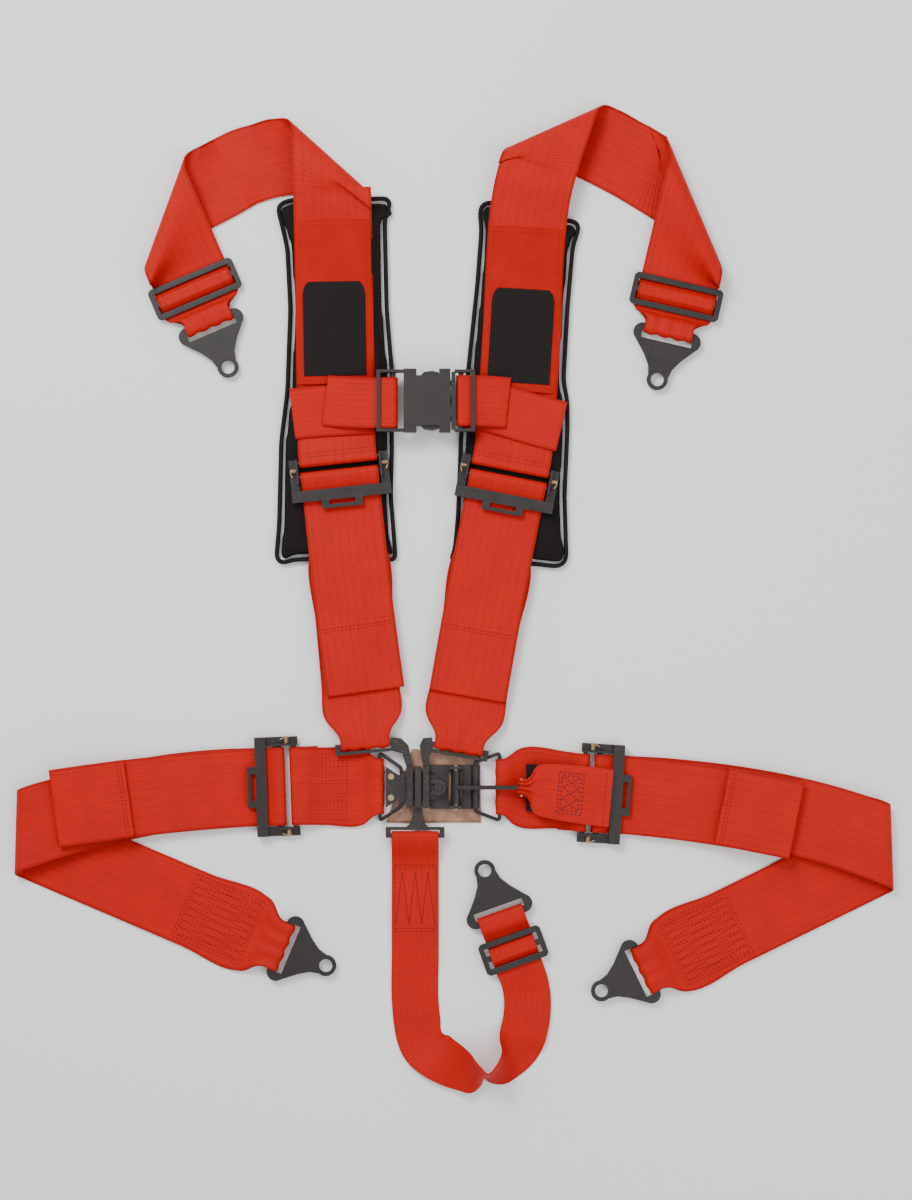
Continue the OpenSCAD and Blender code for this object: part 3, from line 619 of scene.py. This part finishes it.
def sewn(name, belt, runs, material, body, blend=None, long=2.9, gap=1.1, width=0.9, height=0.5):
    """Thread stitches along runs of (along, across) points, on whichever face looks up."""
    bm = bmesh.new()
    for run in runs:
        for (s0, w0), (s1, w1) in zip(run, run[1:]):
            distance = math.hypot(s1 - s0, w1 - w0)
            n = max(1, round(distance / (long + gap)))
            for i in range(n):
                ends = []
                for share in (i / n, (i + long / (long + gap)) / n):
                    p, normal = belt.surface(s0 + (s1 - s0) * share, w0 + (w1 - w0) * share)
                    up = normal if normal.z >= 0 else -normal
                    ends.append((p + up * (belt.thickness / 2), up))
                stitch(bm, ends[0][0], ends[1][0], (ends[0][1] + ends[1][1]).normalized(), width, height)
    mesh = bpy.data.meshes.new("stitches")
    bm.to_mesh(mesh)
    bm.free()
    obj = piece(name, mesh, material, None if blend else body)
    if blend:
        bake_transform(obj)
    return obj


def stitch(bm, a, b, up, width, height):
    """One thread: a small lozenge from a to b."""
    across = (b - a).cross(up).normalized() * (width / 2)
    low = -up * 0.25
    ring = []
    for share in (0.22, 0.78):
        p = a.lerp(b, share)
        ring.append([bm.verts.new(home(q)) for q in (p - across + low, p + up * height, p + across + low)])
    tips = [bm.verts.new(home(p + low)) for p in (a, b)]
    (r0, t0, l0), (r1, t1, l1) = ring
    for face in (
        (tips[0], t0, r0), (tips[0], l0, t0), (r0, t0, t1, r1), (t0, l0, l1, t1),
        (tips[1], r1, t1), (tips[1], t1, l1), (tips[0], r0, r1, tips[1], l1, l0),
    ):
        bm.faces.new(face)


def rows_across(belt, starts, half):
    return [[(s, -half), (s, half)] for s in starts]


def box_and_zigzag(s0, s1, half, peaks):
    """Outline and a zigzag over it, as a load-bearing sewn patch has."""
    outline = [(s0, -half), (s0, half), (s1, half), (s1, -half), (s0, -half)]
    inner = [(s0 + 3, -half + 3), (s0 + 3, half - 3), (s1 - 3, half - 3), (s1 - 3, -half + 3), (s0 + 3, -half + 3)]
    zigzag = []
    for i in range(peaks + 1):
        zigzag.append((s0 + 4 if i % 2 else s1 - 4, -half + 4 + (2 * half - 8) * i / peaks))
    return [outline, inner, zigzag, [(s0 + s1 - a, w) for a, w in zigzag]]


def zigzag_columns(s0, count, pitch, half):
    runs = []
    for k in range(count):
        s = s0 + k * pitch
        steps = round(2 * half / 3.2)
        runs.append([(s + (0.9 if j % 2 else -0.9), -half + 2 * half * j / steps) for j in range(steps + 1)])
    return runs


# Bar frames of the adjusters, x towards the free belt
ADJUSTERS = {
    "shoulder_left": level(-112.6, 133, 15, 276),
    "shoulder_right": level(55.6, 126.2, 15, 259),
    "lap_left": level(-155.2, -185.7, 8, 182),
    "lap_right": level(127.1, -192.3, 8, -3.3),
}
JOIN = 31.5


def over_slider_and_bracket(w, narrow):
    up, down = roll(0, 2.2, 1, 45), roll(0, 2.2, -1, 45)
    hump = [up, twist(5.5, 0, 0, 0, 1, w), down, twist(6.6, 0, 0, 0, 1, w), down, twist(5.5, 0, 0, 0, 1, w), up]
    return [
        lay(8, UNDER_Z, w=w), *hump, lay(7, UNDER_Z, w=w), lay(9, BRACKET_TOP, w=narrow),
        lay(8.6, BRACKET_TOP, w=narrow), roll(0, 5.3, -1), lay(6, FLOOR_Z, w=narrow),
        lay(12, FLOOR_Z, w=w), lay(34, FLOOR_Z, w=w),
    ]


def sewn_end(steer):
    return [lay(14, 11.4), roll(0, 3.6, -1), lay(14, STRAP_Z + 1.9), lay(14, STRAP_Z, steer)]


SHOULDER_START = {
    "left": level(-114.06, 146.92, 11.4, 276, False),
    "right": level(58.27, 139.94, 11.4, 259, False),
}
SHOULDER_RUN = {
    "left": sewn_end(-5)
    + [lay(206, STRAP_Z, n=2), lay(46, 22, n=3), roll(43, 10, -1), lay(52, 2, 4), lay(28, 2, 18, 2), lay(54, 2)]
    + [roll(-47, 10, -1), lay(44, UNDER_Z)],
    "right": sewn_end(6)
    + [lay(206, STRAP_Z, 2, 2), lay(40, 20, -8, 3), lay(46, 22, -7, 2), roll(-42, 10, -1), lay(56, 2, -2)]
    + [lay(26, 2, -5, 2), lay(32, 2), roll(54, 10, -1), lay(52, UNDER_Z)],
}
LAP_START = {
    "left": level(-248.3, -309.1, FLOOR_Z, -23, False),
    "right": level(265.2, -327.4, FLOOR_Z, 206, False),
}
LAP_END = [lay(60, FLOOR_Z, n=2), lay(18, FLOOR_Z, w=GATHER_W), lay(8, FLOOR_Z, w=GATHER_W)]


def lap_out(last):
    return [
        roll(0, 5.3, -1), lay(8, BRACKET_TOP, w=GATHER_W), lay(20, 4), lay(62, 3), lay(last, FLOOR_Z, n=3),
    ]


LAP_LAST = {"left": 183, "right": 169.8}
LAP_BACK = {
    "left": [roll(-21.5, 7, 1), lay(50, 11.9, -3), lay(90, 8, -6.5, 2), lay(98, 3.7, -8.5, 2)],
    "right": [roll(24, 7, 1), lay(60, 11.9, 5, 2), lay(90, 8, 7, 2), lay(118, 3.7, 6.7, 2)],
}
LAP_TAIL = {"left": (6, 112), "right": (-8, 86)}


def roll_rows(adjuster):
    """The belt round the slide bar, from under the handle back to the lower run."""
    z = adjuster.translation.z
    steps = [lay(5, z + 0.4), lay(12, z + 4.3), roll(0, 4.3, -1), lay(17, z - 4.3)]
    return walk(adjuster @ shift(31, 0, -1.4) @ turned("Z", 180), BELT_W, steps)


def numbered(rows, k):
    return [(*row[:4], k + row[4]) for row in rows]


def build_shoulder_belt(side):
    steps = SHOULDER_RUN[side] + over_slider_and_bracket(BELT_W, GATHER_W)
    rows = walk(SHOULDER_START[side], BELT_W, steps)
    belt = Belt(rows, BELT_T, BELT_W, pleats=0.8, seed=3.1 if side == "left" else 7.7)
    lay_belt(f"shoulder_belt_{side}", belt, "belt", "harness", f"shoulder_strap_{side}")
    top = belt.starts[2]
    runs = rows_across(belt, (top + 5, top + 9), 35)
    sewn(f"shoulder_belt_end_stitches_{side}", belt, runs, "red_thread", "harness")
    return belt


def build_sleeve(side, steer_first, steer):
    under = sewn_end(-5 if side == "left" else 6) + [lay(46, STRAP_Z, steer_first)]
    start = end_frame(SHOULDER_START[side], under)
    rows = walk(shift(0, 0, 1.55) @ start, 74, [lay(160, STRAP_Z + 1.55, steer, 2, 74)])
    belt = Belt(rows, 0.9, 74, crown=1.3, ripple=0.35, seed=2.0)
    lay_belt(f"sleeve_{side}", belt, "twill", "harness", f"pad_sleeve_{side}")
    length = belt.length
    runs = [[(4, -32), (4, 32)], [(length - 5, -32), (length - 5, 32)]]
    runs += [[(3, w), (length - 3, w)] for w in (-32, 32)]
    runs += [[(length * 0.47 + d, -31), (length * 0.47 + d, 31)] for d in (0, 3)]
    sewn(f"sleeve_stitches_{side}", belt, runs, "red_thread", "harness", long=2.4, gap=1.0, width=0.7, height=0.35)
    return belt


def build_label(side, sleeve):
    """A blank woven label with an arched top edge and a raised border."""
    s0, s1 = 6, 98
    start = max(0.0, sleeve.length - 158)
    rows = []
    for i in range(25):
        s = start + s0 + (s1 - s0) * i / 24
        rise = min(1.0, (1 - i / 24) * 9)
        half = 30.5 * (0.82 + 0.18 * math.sqrt(rise)) if i > 21 else 30.5
        edges = [sleeve.surface(s, w)[0] + sleeve.surface(s, w)[1] * 1.1 for w in (half, -half)]
        rows.append((edges[0], edges[1], None, 2 * half, 0))
    label = Belt(rows, 1.0, 61, crown=0.5)
    obj = piece(f"label_{side}", label.sheet(12), "label", "harness")
    modifier(obj, "SOLIDIFY", thickness=0.001, offset=0.0)
    modifier(obj, "BEVEL", width=0.0003, segments=2, limit_method="ANGLE", angle_limit=math.radians(60))
    runs = []
    for inset in (2.2, 5.0):
        h, e = 30.5 - inset, label.length - inset
        runs.append([(inset, -h), (inset, h), (e - 8, h), (e, h * 0.8), (e, -h * 0.8), (e - 8, -h), (inset, -h)])
    sewn(
        f"label_stitches_{side}", label, runs, "black_thread", "harness",
        long=2.2, gap=0.7, width=0.8, height=0.3,
    )


def build_lower_belt(side):
    adjuster = ADJUSTERS[f"shoulder_{side}"]
    bend = 1 if side == "right" else -1
    under = [lay(60, 10.7), lay(130, 7, bend, 2), lay(28, 9), lay(24, 13.6, w=GATHER_W), lay(6, 13.6, w=GATHER_W)]
    turn = [roll(0, 3.6, -1), lay(8, 6.4, w=GATHER_W), lay(14, 5, w=GATHER_W)]
    steer = 1 if side == "right" else 2
    tail = [lay(60, 13.4), lay(135, 10, steer, 3), roll(0, 1, 1), lay(68, 12.6, n=2)]
    rows = backwards(walk(adjuster @ shift(JOIN, 0, -4.3), BELT_W, under + turn))
    rows = joined(rows, backwards(numbered(roll_rows(adjuster), 20)))
    rows = joined(rows, numbered(walk(adjuster @ shift(JOIN, 0, -1.4), BELT_W, tail), 40))
    belt = Belt(rows, BELT_T, BELT_W, pleats=0.9, seed=1.4 if side == "left" else 5.2)
    near, far = home(adjuster @ Vector((34, 0, 0))), home(adjuster @ Vector((120, 0, 0)))
    blend = ("harness", f"shoulder_{side}_adjuster_unit", far, near)
    lay_belt(
        f"lower_belt_{side}", belt, "belt", None,
        [f"shoulder_lower_strap_{side}", f"shoulder_roll_{side}"], blend=blend,
    )
    end = belt.length
    sewn(f"lower_belt_stitches_{side}", belt, rows_across(belt, (end - 4, end - 7), 35), "red_thread", None, blend)


def build_lap_belt(side):
    adjuster = ADJUSTERS[f"lap_{side}"]
    out = LAP_END + lap_out(LAP_LAST[side])
    steer, last = LAP_TAIL[side]
    tail = [lay(90, 10, steer / 2, 2), lay(last, 17.9, steer / 2, 3), roll(0, 1, 1), lay(72, 18.5, n=2)]
    fold_frame = end_frame(LAP_START[side], out)
    lower = walk(LAP_START[side], BELT_W, out)
    lower = lower[:-1] + walk(fold_frame, BELT_W, LAP_BACK[side][:1])[:1]
    upper = walk(fold_frame, BELT_W, LAP_BACK[side])
    upper = joined(upper, backwards(numbered(roll_rows(adjuster), 20)))
    upper = joined(upper, numbered(walk(adjuster @ shift(JOIN, 0, -1.4), BELT_W, tail), 40))
    seed = 2.4 if side == "left" else 6.3
    anchored = Belt(lower, BELT_T, BELT_W, pleats=0.8, seed=seed)
    free = Belt(upper, BELT_T, BELT_W, pleats=0.8, seed=seed)
    lay_belt(f"lap_belt_lower_{side}", anchored, "belt", "harness", f"lap_strap_{side}")
    blend = None
    if side == "left":
        near, far = home(adjuster @ Vector((34, 0, 0))), home(adjuster @ Vector((150, 0, 0)))
        blend = ("harness", "lap_left_adjuster_unit", far, near)
    lay_belt(
        f"lap_belt_upper_{side}", free, "belt", "harness",
        [f"lap_strap_{side}", f"lap_roll_{side}"], blend=blend,
    )
    bar = anchored.starts[4]
    patch = box_and_zigzag(bar + 32, bar + 104, 33, 8)
    sewn(f"lap_belt_patch_{side}", anchored, patch, "red_thread", "harness")
    end = free.length
    sewn(
        f"lap_belt_tail_stitches_{side}", free, rows_across(free, (end - 4, end - 7), 35), "red_thread", "harness",
        blend,
    )


def build_sub_belt():
    steps = [
        lay(46, 0.9, w=SUB_W), lay(26, 6.4, w=SUB_W), roll(0, 3.6, -1), lay(26, 4, w=SUB_W), lay(46, 3.1, w=SUB_W),
        lay(92, 0.9, n=2, w=SUB_W), lay(36, 0.9, 11, 2, SUB_W), twist(20, -16, 42.5, 0, 3),
        twist(45, -11, 20.5, 48, 4), twist(15, 34, -23.5, 48, 3), twist(23, 55, -11, -44, 4),
        twist(35, -38, 37.5, -51, 4), lay(40, 2.9, 23, 3, SUB_W), lay(29, UNDER_Z, 19, 2, SUB_W),
    ]
    rows = walk(level(-37.5, -306, 0.9, 90, False), SUB_W, steps + over_slider_and_bracket(SUB_W, SUB_W))
    belt = Belt(rows, BELT_T, SUB_W, ripple=0.0, seed=4.0)
    lay_belt("sub_belt", belt, "chest_belt", "harness", "sub_strap", columns=12)
    bar = belt.starts[3]
    runs = rows_across(belt, (bar + 31, bar + 34, bar + 93, bar + 96), 20)
    runs += [
        [(bar + (38 if i % 2 else 89), w * (1 if k else -1))
         for i, w in enumerate((-19, -12.7, -6.3, 0, 6.3, 12.7, 19))]
        for k in (0, 1)
    ]
    runs += [[(bar + 31, w), (bar + 96, w)] for w in (-20, 20)]
    sewn("sub_belt_patch", belt, runs, "red_thread", "harness")


def build_chest_belts():
    over, under, bar_top = 14.9, 10.0, 26.1
    starts = {
        "left": level(-124.91, 190.69, 17.2, -7),
        "right": level(14, 186.5, under, -11),
    }
    runs = {
        "left": [
            lay(66, bar_top, 7, 3, CHEST_W), roll(0, 4.2, -1), lay(14, under, w=CHEST_W),
            lay(82, under, 7, 1, CHEST_W), roll(0, 2.45, -1), lay(76, over, -3, 1, CHEST_W),
        ],
        "right": [lay(91, under, -2, 1, CHEST_W), roll(0, 2.45, 1), lay(78, over, -3, 1, CHEST_W)],
    }
    for side in ("left", "right"):
        belt = Belt(walk(starts[side], CHEST_W, runs[side]), CHEST_T, CHEST_W)
        lay_belt(
            f"chest_belt_{side}", belt, "chest_belt", "harness", f"chest_strap_{side}",
            columns=12,
        )
        end = belt.length
        sewn(f"chest_belt_stitches_{side}", belt, rows_across(belt, (end - 4,), 22), "red_thread", "harness")
    start = level(53.34, 188.24, 17.3, 173.4)
    rows = walk(start, CHEST_W, [lay(46, bar_top, 6.6, 3, CHEST_W), roll(0, 4.2, -1), lay(4, 17.4, w=CHEST_W)])
    belt = Belt(rows, CHEST_T, CHEST_W)
    lay_belt(
        "chest_tail", belt, "chest_belt", "chest_plug_unit", "chest_tail_right", columns=12
    )


def build_lap_ends():
    plans = {
        "left": (
            level(-132, -184.9, 2, 182, False),
            [lay(30, 4.4, -3), lay(36, 4, 1), lay(17, 9, w=54)],
        ),
        "right": (
            level(104, -191, 2, -3.3, False),
            [lay(20, 4.4, -3), lay(44, 4, 2), lay(18, 9, 4.3, w=54)],
        ),
    }
    for side, (start, middle) in plans.items():
        bend = roll(0, 3.6, -1)
        steps = [lay(23.2, 4.4), bend, *middle, bend, lay(12, 1.6, w=54), lay(18, 1.6, w=54)]
        belt = Belt(walk(start, BELT_W, steps), BELT_T, BELT_W, pleats=0.5)
        lay_belt(f"lap_end_{side}", belt, "belt", "harness", f"lap_end_strap_{side}")
        top = belt.starts[2]
        if side == "left":
            runs = zigzag_columns(top + 15, 10, 4, 34)
        else:
            runs = [r for w in (26, -29) for r in zigzag_rows(top + 18, top + 52, w)]
            runs += rows_across(belt, (top + 16,), 36)
        sewn(f"lap_end_stitches_{side}", belt, runs, "red_thread", "harness", long=2.0, gap=1.2, width=0.8)


def zigzag_rows(s0, s1, w):
    return [[(s, w), (s, w + 5)] for s in [s0 + 3 * k for k in range(int((s1 - s0) / 3) + 1)]]


def build_pull_tab():
    """Webbing doubled round the pin, pinched at its neck."""
    x, y, z = 66.2, LATCH_Y, 16.6
    heading_out = -5
    place = level(x, y, z, heading_out)
    stations = [
        (88, 56, 1.9), (62, 56, 1.7), (36, 54, 1.7), (24, 52, 1.8), (14, 46, 2.4), (6, 17, 3.0), (1, 14, 3.1),
    ]
    lower = [
        (place @ Vector((u, w / 2 - 3 * u / 88, -h)), place @ Vector((u, -w / 2 - 3 * u / 88, -h)), None, w, 0)
        for u, w, h in stations
    ]
    arc = []
    for i in range(1, 12):
        a = math.pi * i / 12
        u, h = -2.6 * math.sin(a), -3.0 * math.cos(a)
        arc.append((place @ Vector((u, 7, h)), place @ Vector((u, -7, h)), None, 14, 1))
    upper = [
        (place @ Vector((u, w / 2 - 3 * u / 88, h)), place @ Vector((u, -w / 2 - 3 * u / 88, h)), None, w, 2)
        for u, w, h in reversed(stations)
    ]
    belt = Belt(lower + arc + upper, BELT_T, 56, pleats=1.0, seed=0.6)
    lay_belt("pull_tab_webbing", belt, "belt", "pull_tab_unit", "pull_tab")
    far = belt.length
    patch = box_and_zigzag(far - 52, far - 28, 20, 3)
    sewn("pull_tab_box_stitches", belt, patch, "navy_thread", "pull_tab_unit", width=1.6)
    sewn("pull_tab_end_seam", belt, rows_across(belt, (far - 6,), 26), "red_thread", "pull_tab_unit")


# ---------------------------------------------------------------- pads
PADS = {
    "left": [(-174, 381), (-168, 387), (-152, 390), (-78, 390), (-64, 391), (-60, 385), (-66, 368), (-64, 280),
             (-59, 220), (-59, 140), (-60, 97), (-55, 34), (-139, 35), (-158, 34), (-168, 30), (-175, 35),
             (-172, 70), (-170, 152), (-164, 200), (-161, 281), (-164, 340), (-170, 366)],
    "right": [(24, 378), (28, 386), (36, 387), (110, 369), (122, 368), (125, 363), (118, 341), (113, 282),
              (109, 211), (113, 189), (113, 163), (110, 97), (112, 33), (104, 27), (80, 30), (-5, 34), (0, 45),
              (3, 78), (6, 155), (13, 221), (22, 306), (26, 359)],
}
PAD_T = 9.0


def eased(outline, spacing=4.0):
    """The closed outline with its corners rounded, at even spacing."""
    points = []
    for a, b in zip(outline, outline[1:] + outline[:1]):
        a, b = Vector(a), Vector(b)
        n = max(1, round((b - a).length / spacing))
        points += [a.lerp(b, k / n) for k in range(n)]
    for _ in range(3):
        points = [(p + q * 2 + r) / 4 for p, q, r in zip(points[-1:] + points, points, points[1:] + points[:1])]
    return points


def inset(points, distance):
    middle = sum(points, Vector((0, 0))) / len(points)
    moved = []
    for p, q, r in zip(points[-1:] + points, points, points[1:] + points[:1]):
        side = Vector(((r - p).y, -(r - p).x)).normalized()
        if side.dot(middle - q) < 0:
            side.negate()
        moved.append(q + side * distance)
    return moved


def build_pad(side):
    outline = eased(PADS[side])
    start = inset(outline, 2.2)
    bm = bmesh.new()
    base = [bm.verts.new(home((p.x, p.y, 1.2))) for p in start]
    bm.faces.new(base)
    top = bmesh.ops.extrude_face_region(bm, geom=list(bm.faces))
    for vert in (g for g in top["geom"] if isinstance(g, bmesh.types.BMVert)):
        vert.co.z += (PAD_T - 2.0) / 1000
    bmesh.ops.recalc_face_normals(bm, faces=bm.faces)
    mesh = bpy.data.meshes.new("pad")
    bm.to_mesh(mesh)
    bm.free()
    obj = piece(f"pad_{side}", mesh, "pad", None, f"shoulder_pad_{side}")
    modifier(obj, "REMESH", mode="VOXEL", voxel_size=0.0035)
    apply_modifiers(obj)
    puff(obj, 0.0035)
    seam = inset(outline, 9.0)
    for vert in obj.data.vertices:
        near = min((Vector((vert.co.x, vert.co.y)) - home((p.x, p.y, 0)).to_2d()).length for p in seam)
        if vert.co.z > 0.005:
            vert.co.z -= 0.0016 * math.exp(-((near / 0.0028) ** 2))
        vert.co.z = min(max(vert.co.z, 0.0002), 0.0104)
    obj.data.materials.clear()
    obj.data.materials.append(MATERIALS["pad"])
    obj.data.polygons.foreach_set("use_smooth", [True] * len(obj.data.polygons))
    modifier(obj, "SUBSURF", levels=1, render_levels=1)
    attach(obj, "harness")
    binding = [home((p.x, p.y, 4.6)) for p in inset(outline, 1.4)]
    wire = tube(binding, 0.0023, 8, True)
    piece(f"pad_binding_{side}", wire, "piping", "harness")
    tree = BVHTree.FromObject(obj, bpy.context.evaluated_depsgraph_get())
    bm = bmesh.new()
    points = eased([tuple(p) for p in seam], 3.6)
    for a, b in zip(points, points[1:] + points[:1]):
        ends = [landed(tree, p) for p in (a, a.lerp(b, 0.72))]
        if None not in ends:
            stitch(bm, ends[0], ends[1], Vector((0, 0, 1)), 0.9, 0.5)
    threads = bpy.data.meshes.new("pad_threads")
    bm.to_mesh(threads)
    bm.free()
    piece(f"pad_stitches_{side}", threads, "black_thread", "harness")


def landed(tree, p):
    """The point straight above p on the pad's top, in the belts' millimetres."""
    top = home((p.x, p.y, 60))
    hit = tree.ray_cast(top, Vector((0, 0, -1)))[0]
    return None if hit is None else hit * 1000 + CENTRE


PUFF_FRAMES = 20


def puff(obj, cap):
    """Swells the pad with a short cloth simulation; no point moves further than cap."""
    rest = [v.co.copy() for v in obj.data.vertices]
    cloth = obj.modifiers.new("cloth", "CLOTH")
    cloth.settings.use_pressure = True
    cloth.settings.uniform_pressure_force = 4.0
    cloth.settings.effector_weights.gravity = 0.0
    cloth.settings.quality = 5
    scene = bpy.context.scene
    for number in range(1, PUFF_FRAMES + 1):
        scene.frame_set(number)
    apply_modifiers(obj)
    scene.frame_set(1)
    for vert, start in zip(obj.data.vertices, rest):
        moved = vert.co - start
        if moved.length > cap:
            vert.co = start + moved.normalized() * cap


# ---------------------------------------------------------------- hardware
COIL_STEPS, STEPS_PER_TURN = 72, 14.4


def build_springs(name, adjuster):
    """A torsion spring on each side of an adjuster, its leg against the slide bar."""
    joined = bmesh.new()
    for side in (-1, 1):
        points = []
        for i in range(COIL_STEPS + 1):
            a = 2 * math.pi * i / STEPS_PER_TURN
            y = side * (42.2 + 5.6 * i / COIL_STEPS)
            points.append(home(adjuster @ Vector((7 + 2.1 * math.cos(a), y, 0.6 + 2.1 * math.sin(a)))))
        leg = ((9.1, side * 47.8, 0.6), (9.4, side * 47.4, 1.6), (13.4, side * 45.8, 2.4))
        points += rounded_path([home(adjuster @ Vector(p)) for p in leg], 0.0007)
        joined.from_mesh(tube(points, 0.00055, 7))
    mesh = bpy.data.meshes.new(name)
    joined.to_mesh(mesh)
    joined.free()
    piece(name + "_coils", mesh, "spring", BODY_OF[name], name)


def build_wires():
    """Round wire bails that join the short lap belts to the tongue and the latch."""
    y = LATCH_Y
    bails = {
        "left": [
            (-51, y + 13.6, 10), (-51, y + 19, 10), (-72, y + 33, 5.4),
            (-72, y - 33, 5.4), (-51, y - 19, 10), (-51, y - 13.6, 10),
        ],
        "right": [
            (21.6, y, 6.5), (21.6, y + 24, 6.5), (45, y + 33, 5.4),
            (45, y - 33, 5.4), (21.6, y - 24, 6.5), (21.6, y, 6.5),
        ],
    }
    for side, points in bails.items():
        wire = tube(rounded_path([home(p) for p in points]), 0.0018, 12)
        piece(f"lap_wire_{side}_bail", wire, "steel", "harness", f"lap_wire_{side}")


def build_backing():
    """Tan backing sheet under the latch, with its clear film wrinkled over it."""
    far = (Vector((-40, -150, 1.1)), Vector((26, -153, 1.1)), None, 92, 0)
    near = (Vector((-66, -222, 1.1)), Vector((27, -222, 1.1)), None, 92, 0)
    belt = Belt([far, near], 1.6, 92)
    belt.offset = lambda i, v: 0.8 * wrinkle(belt.alongs[i], v * 46)
    obj = piece("backing_film", belt.sheet(60), "film", "harness", "backing_pad")
    modifier(obj, "SOLIDIFY", thickness=0.0016, offset=0.0)


def wrinkle(a, b):
    ridge = 1 - abs(noise.noise(Vector((a / 9, b / 15, 1.7)))) * 4
    return max(0.0, ridge) + noise.noise(Vector((a / 4, b / 5, 4.2))) * 0.7


FINISHES = {
    "rough": ["lap_tongue", "latch_base", "shoulder_link_left", "shoulder_link_right", "sub_link", "latch_fork"],
    "glossy": ["shoulder_slide_bar_left", "shoulder_slide_bar_right", "lap_slide_bar_left", "lap_slide_bar_right"],
    "steel": [
        "shoulder_bracket_left", "shoulder_bracket_right", "lap_bracket_left", "lap_bracket_right", "sub_bracket",
        "shoulder_slider_left", "shoulder_slider_right", "sub_slider", "shoulder_adjuster_left",
        "shoulder_adjuster_right", "lap_adjuster_left", "lap_adjuster_right", "latch_lever",
    ],
    "plastic": ["chest_socket", "chest_plug", "chest_prong_upper", "chest_prong_lower"],
    "pin": ["latch_pin", "pull_tab_pin"],
    "spring": ["tongue_rivets"],
    "hook": ["hook_patch"],
}
ROUNDING = {"plastic": 0.0011, "pin": 0.0003, "spring": 0.0003, "hook": 0.0004}


def build_hardware():
    for finish, nodes in FINISHES.items():
        for node in nodes:
            obj = softened(node, finish, ROUNDING.get(finish, 0.0006))
    for name, adjuster in ADJUSTERS.items():
        a, b = name.split("_")
        build_springs(f"{a}_springs_{b}", adjuster)
    build_wires()
    build_backing()


# ---------------------------------------------------------------- stage
def light(name, kind, place, energy, size, colour=(1, 1, 1)):
    data = bpy.data.lights.new(name, kind)
    data.energy, data.size, data.color = energy, size, colour
    obj = bpy.data.objects.new(name, data)
    obj.location = place
    obj.rotation_mode = "QUATERNION"
    obj.rotation_quaternion = (-Vector(place)).to_track_quat("-Z", "Y")
    bpy.context.scene.collection.objects.link(obj)


def build_stage():
    bm = bmesh.new()
    bmesh.ops.create_grid(bm, x_segments=1, y_segments=1, size=6)
    mesh = bpy.data.meshes.new("floor")
    bm.to_mesh(mesh)
    bm.free()
    s = Shade("pale_floor")
    mesh.materials.append(s.finish((0.95, 0.95, 0.945, 1), 0.85))
    floor = bpy.data.objects.new("floor", mesh)
    bpy.context.scene.collection.objects.link(floor)
    light("key", "AREA", (-0.9, 1.3, 1.9), 46, 1.0)
    light("fill", "AREA", (1.3, -0.8, 1.8), 20, 1.8)
    light("top", "AREA", (0.1, 0.2, 2.4), 8, 2.2)
    world = bpy.data.worlds.new("studio")
    world.use_nodes = True
    world.node_tree.nodes["Background"].inputs["Color"].default_value = (1, 1, 1, 1)
    world.node_tree.nodes["Background"].inputs["Strength"].default_value = 0.62
    bpy.context.scene.world = world
    camera = bpy.data.objects.new("camera", bpy.data.cameras.new("camera"))
    camera.data.sensor_width = 36
    camera.data.lens = 91.8
    camera.location = (0.0018, -0.0012, 3.0)
    bpy.context.scene.collection.objects.link(camera)
    bpy.context.scene.camera = camera


for wearer_side in ("left", "right"):
    build_shoulder_belt(wearer_side)
    build_pad(wearer_side)
    build_lower_belt(wearer_side)
    build_lap_belt(wearer_side)
build_label("left", build_sleeve("left", 0, 0))
build_label("right", build_sleeve("right", 1, 1))
build_sub_belt()
build_chest_belts()
build_lap_ends()
build_pull_tab()
build_hardware()
build_stage()
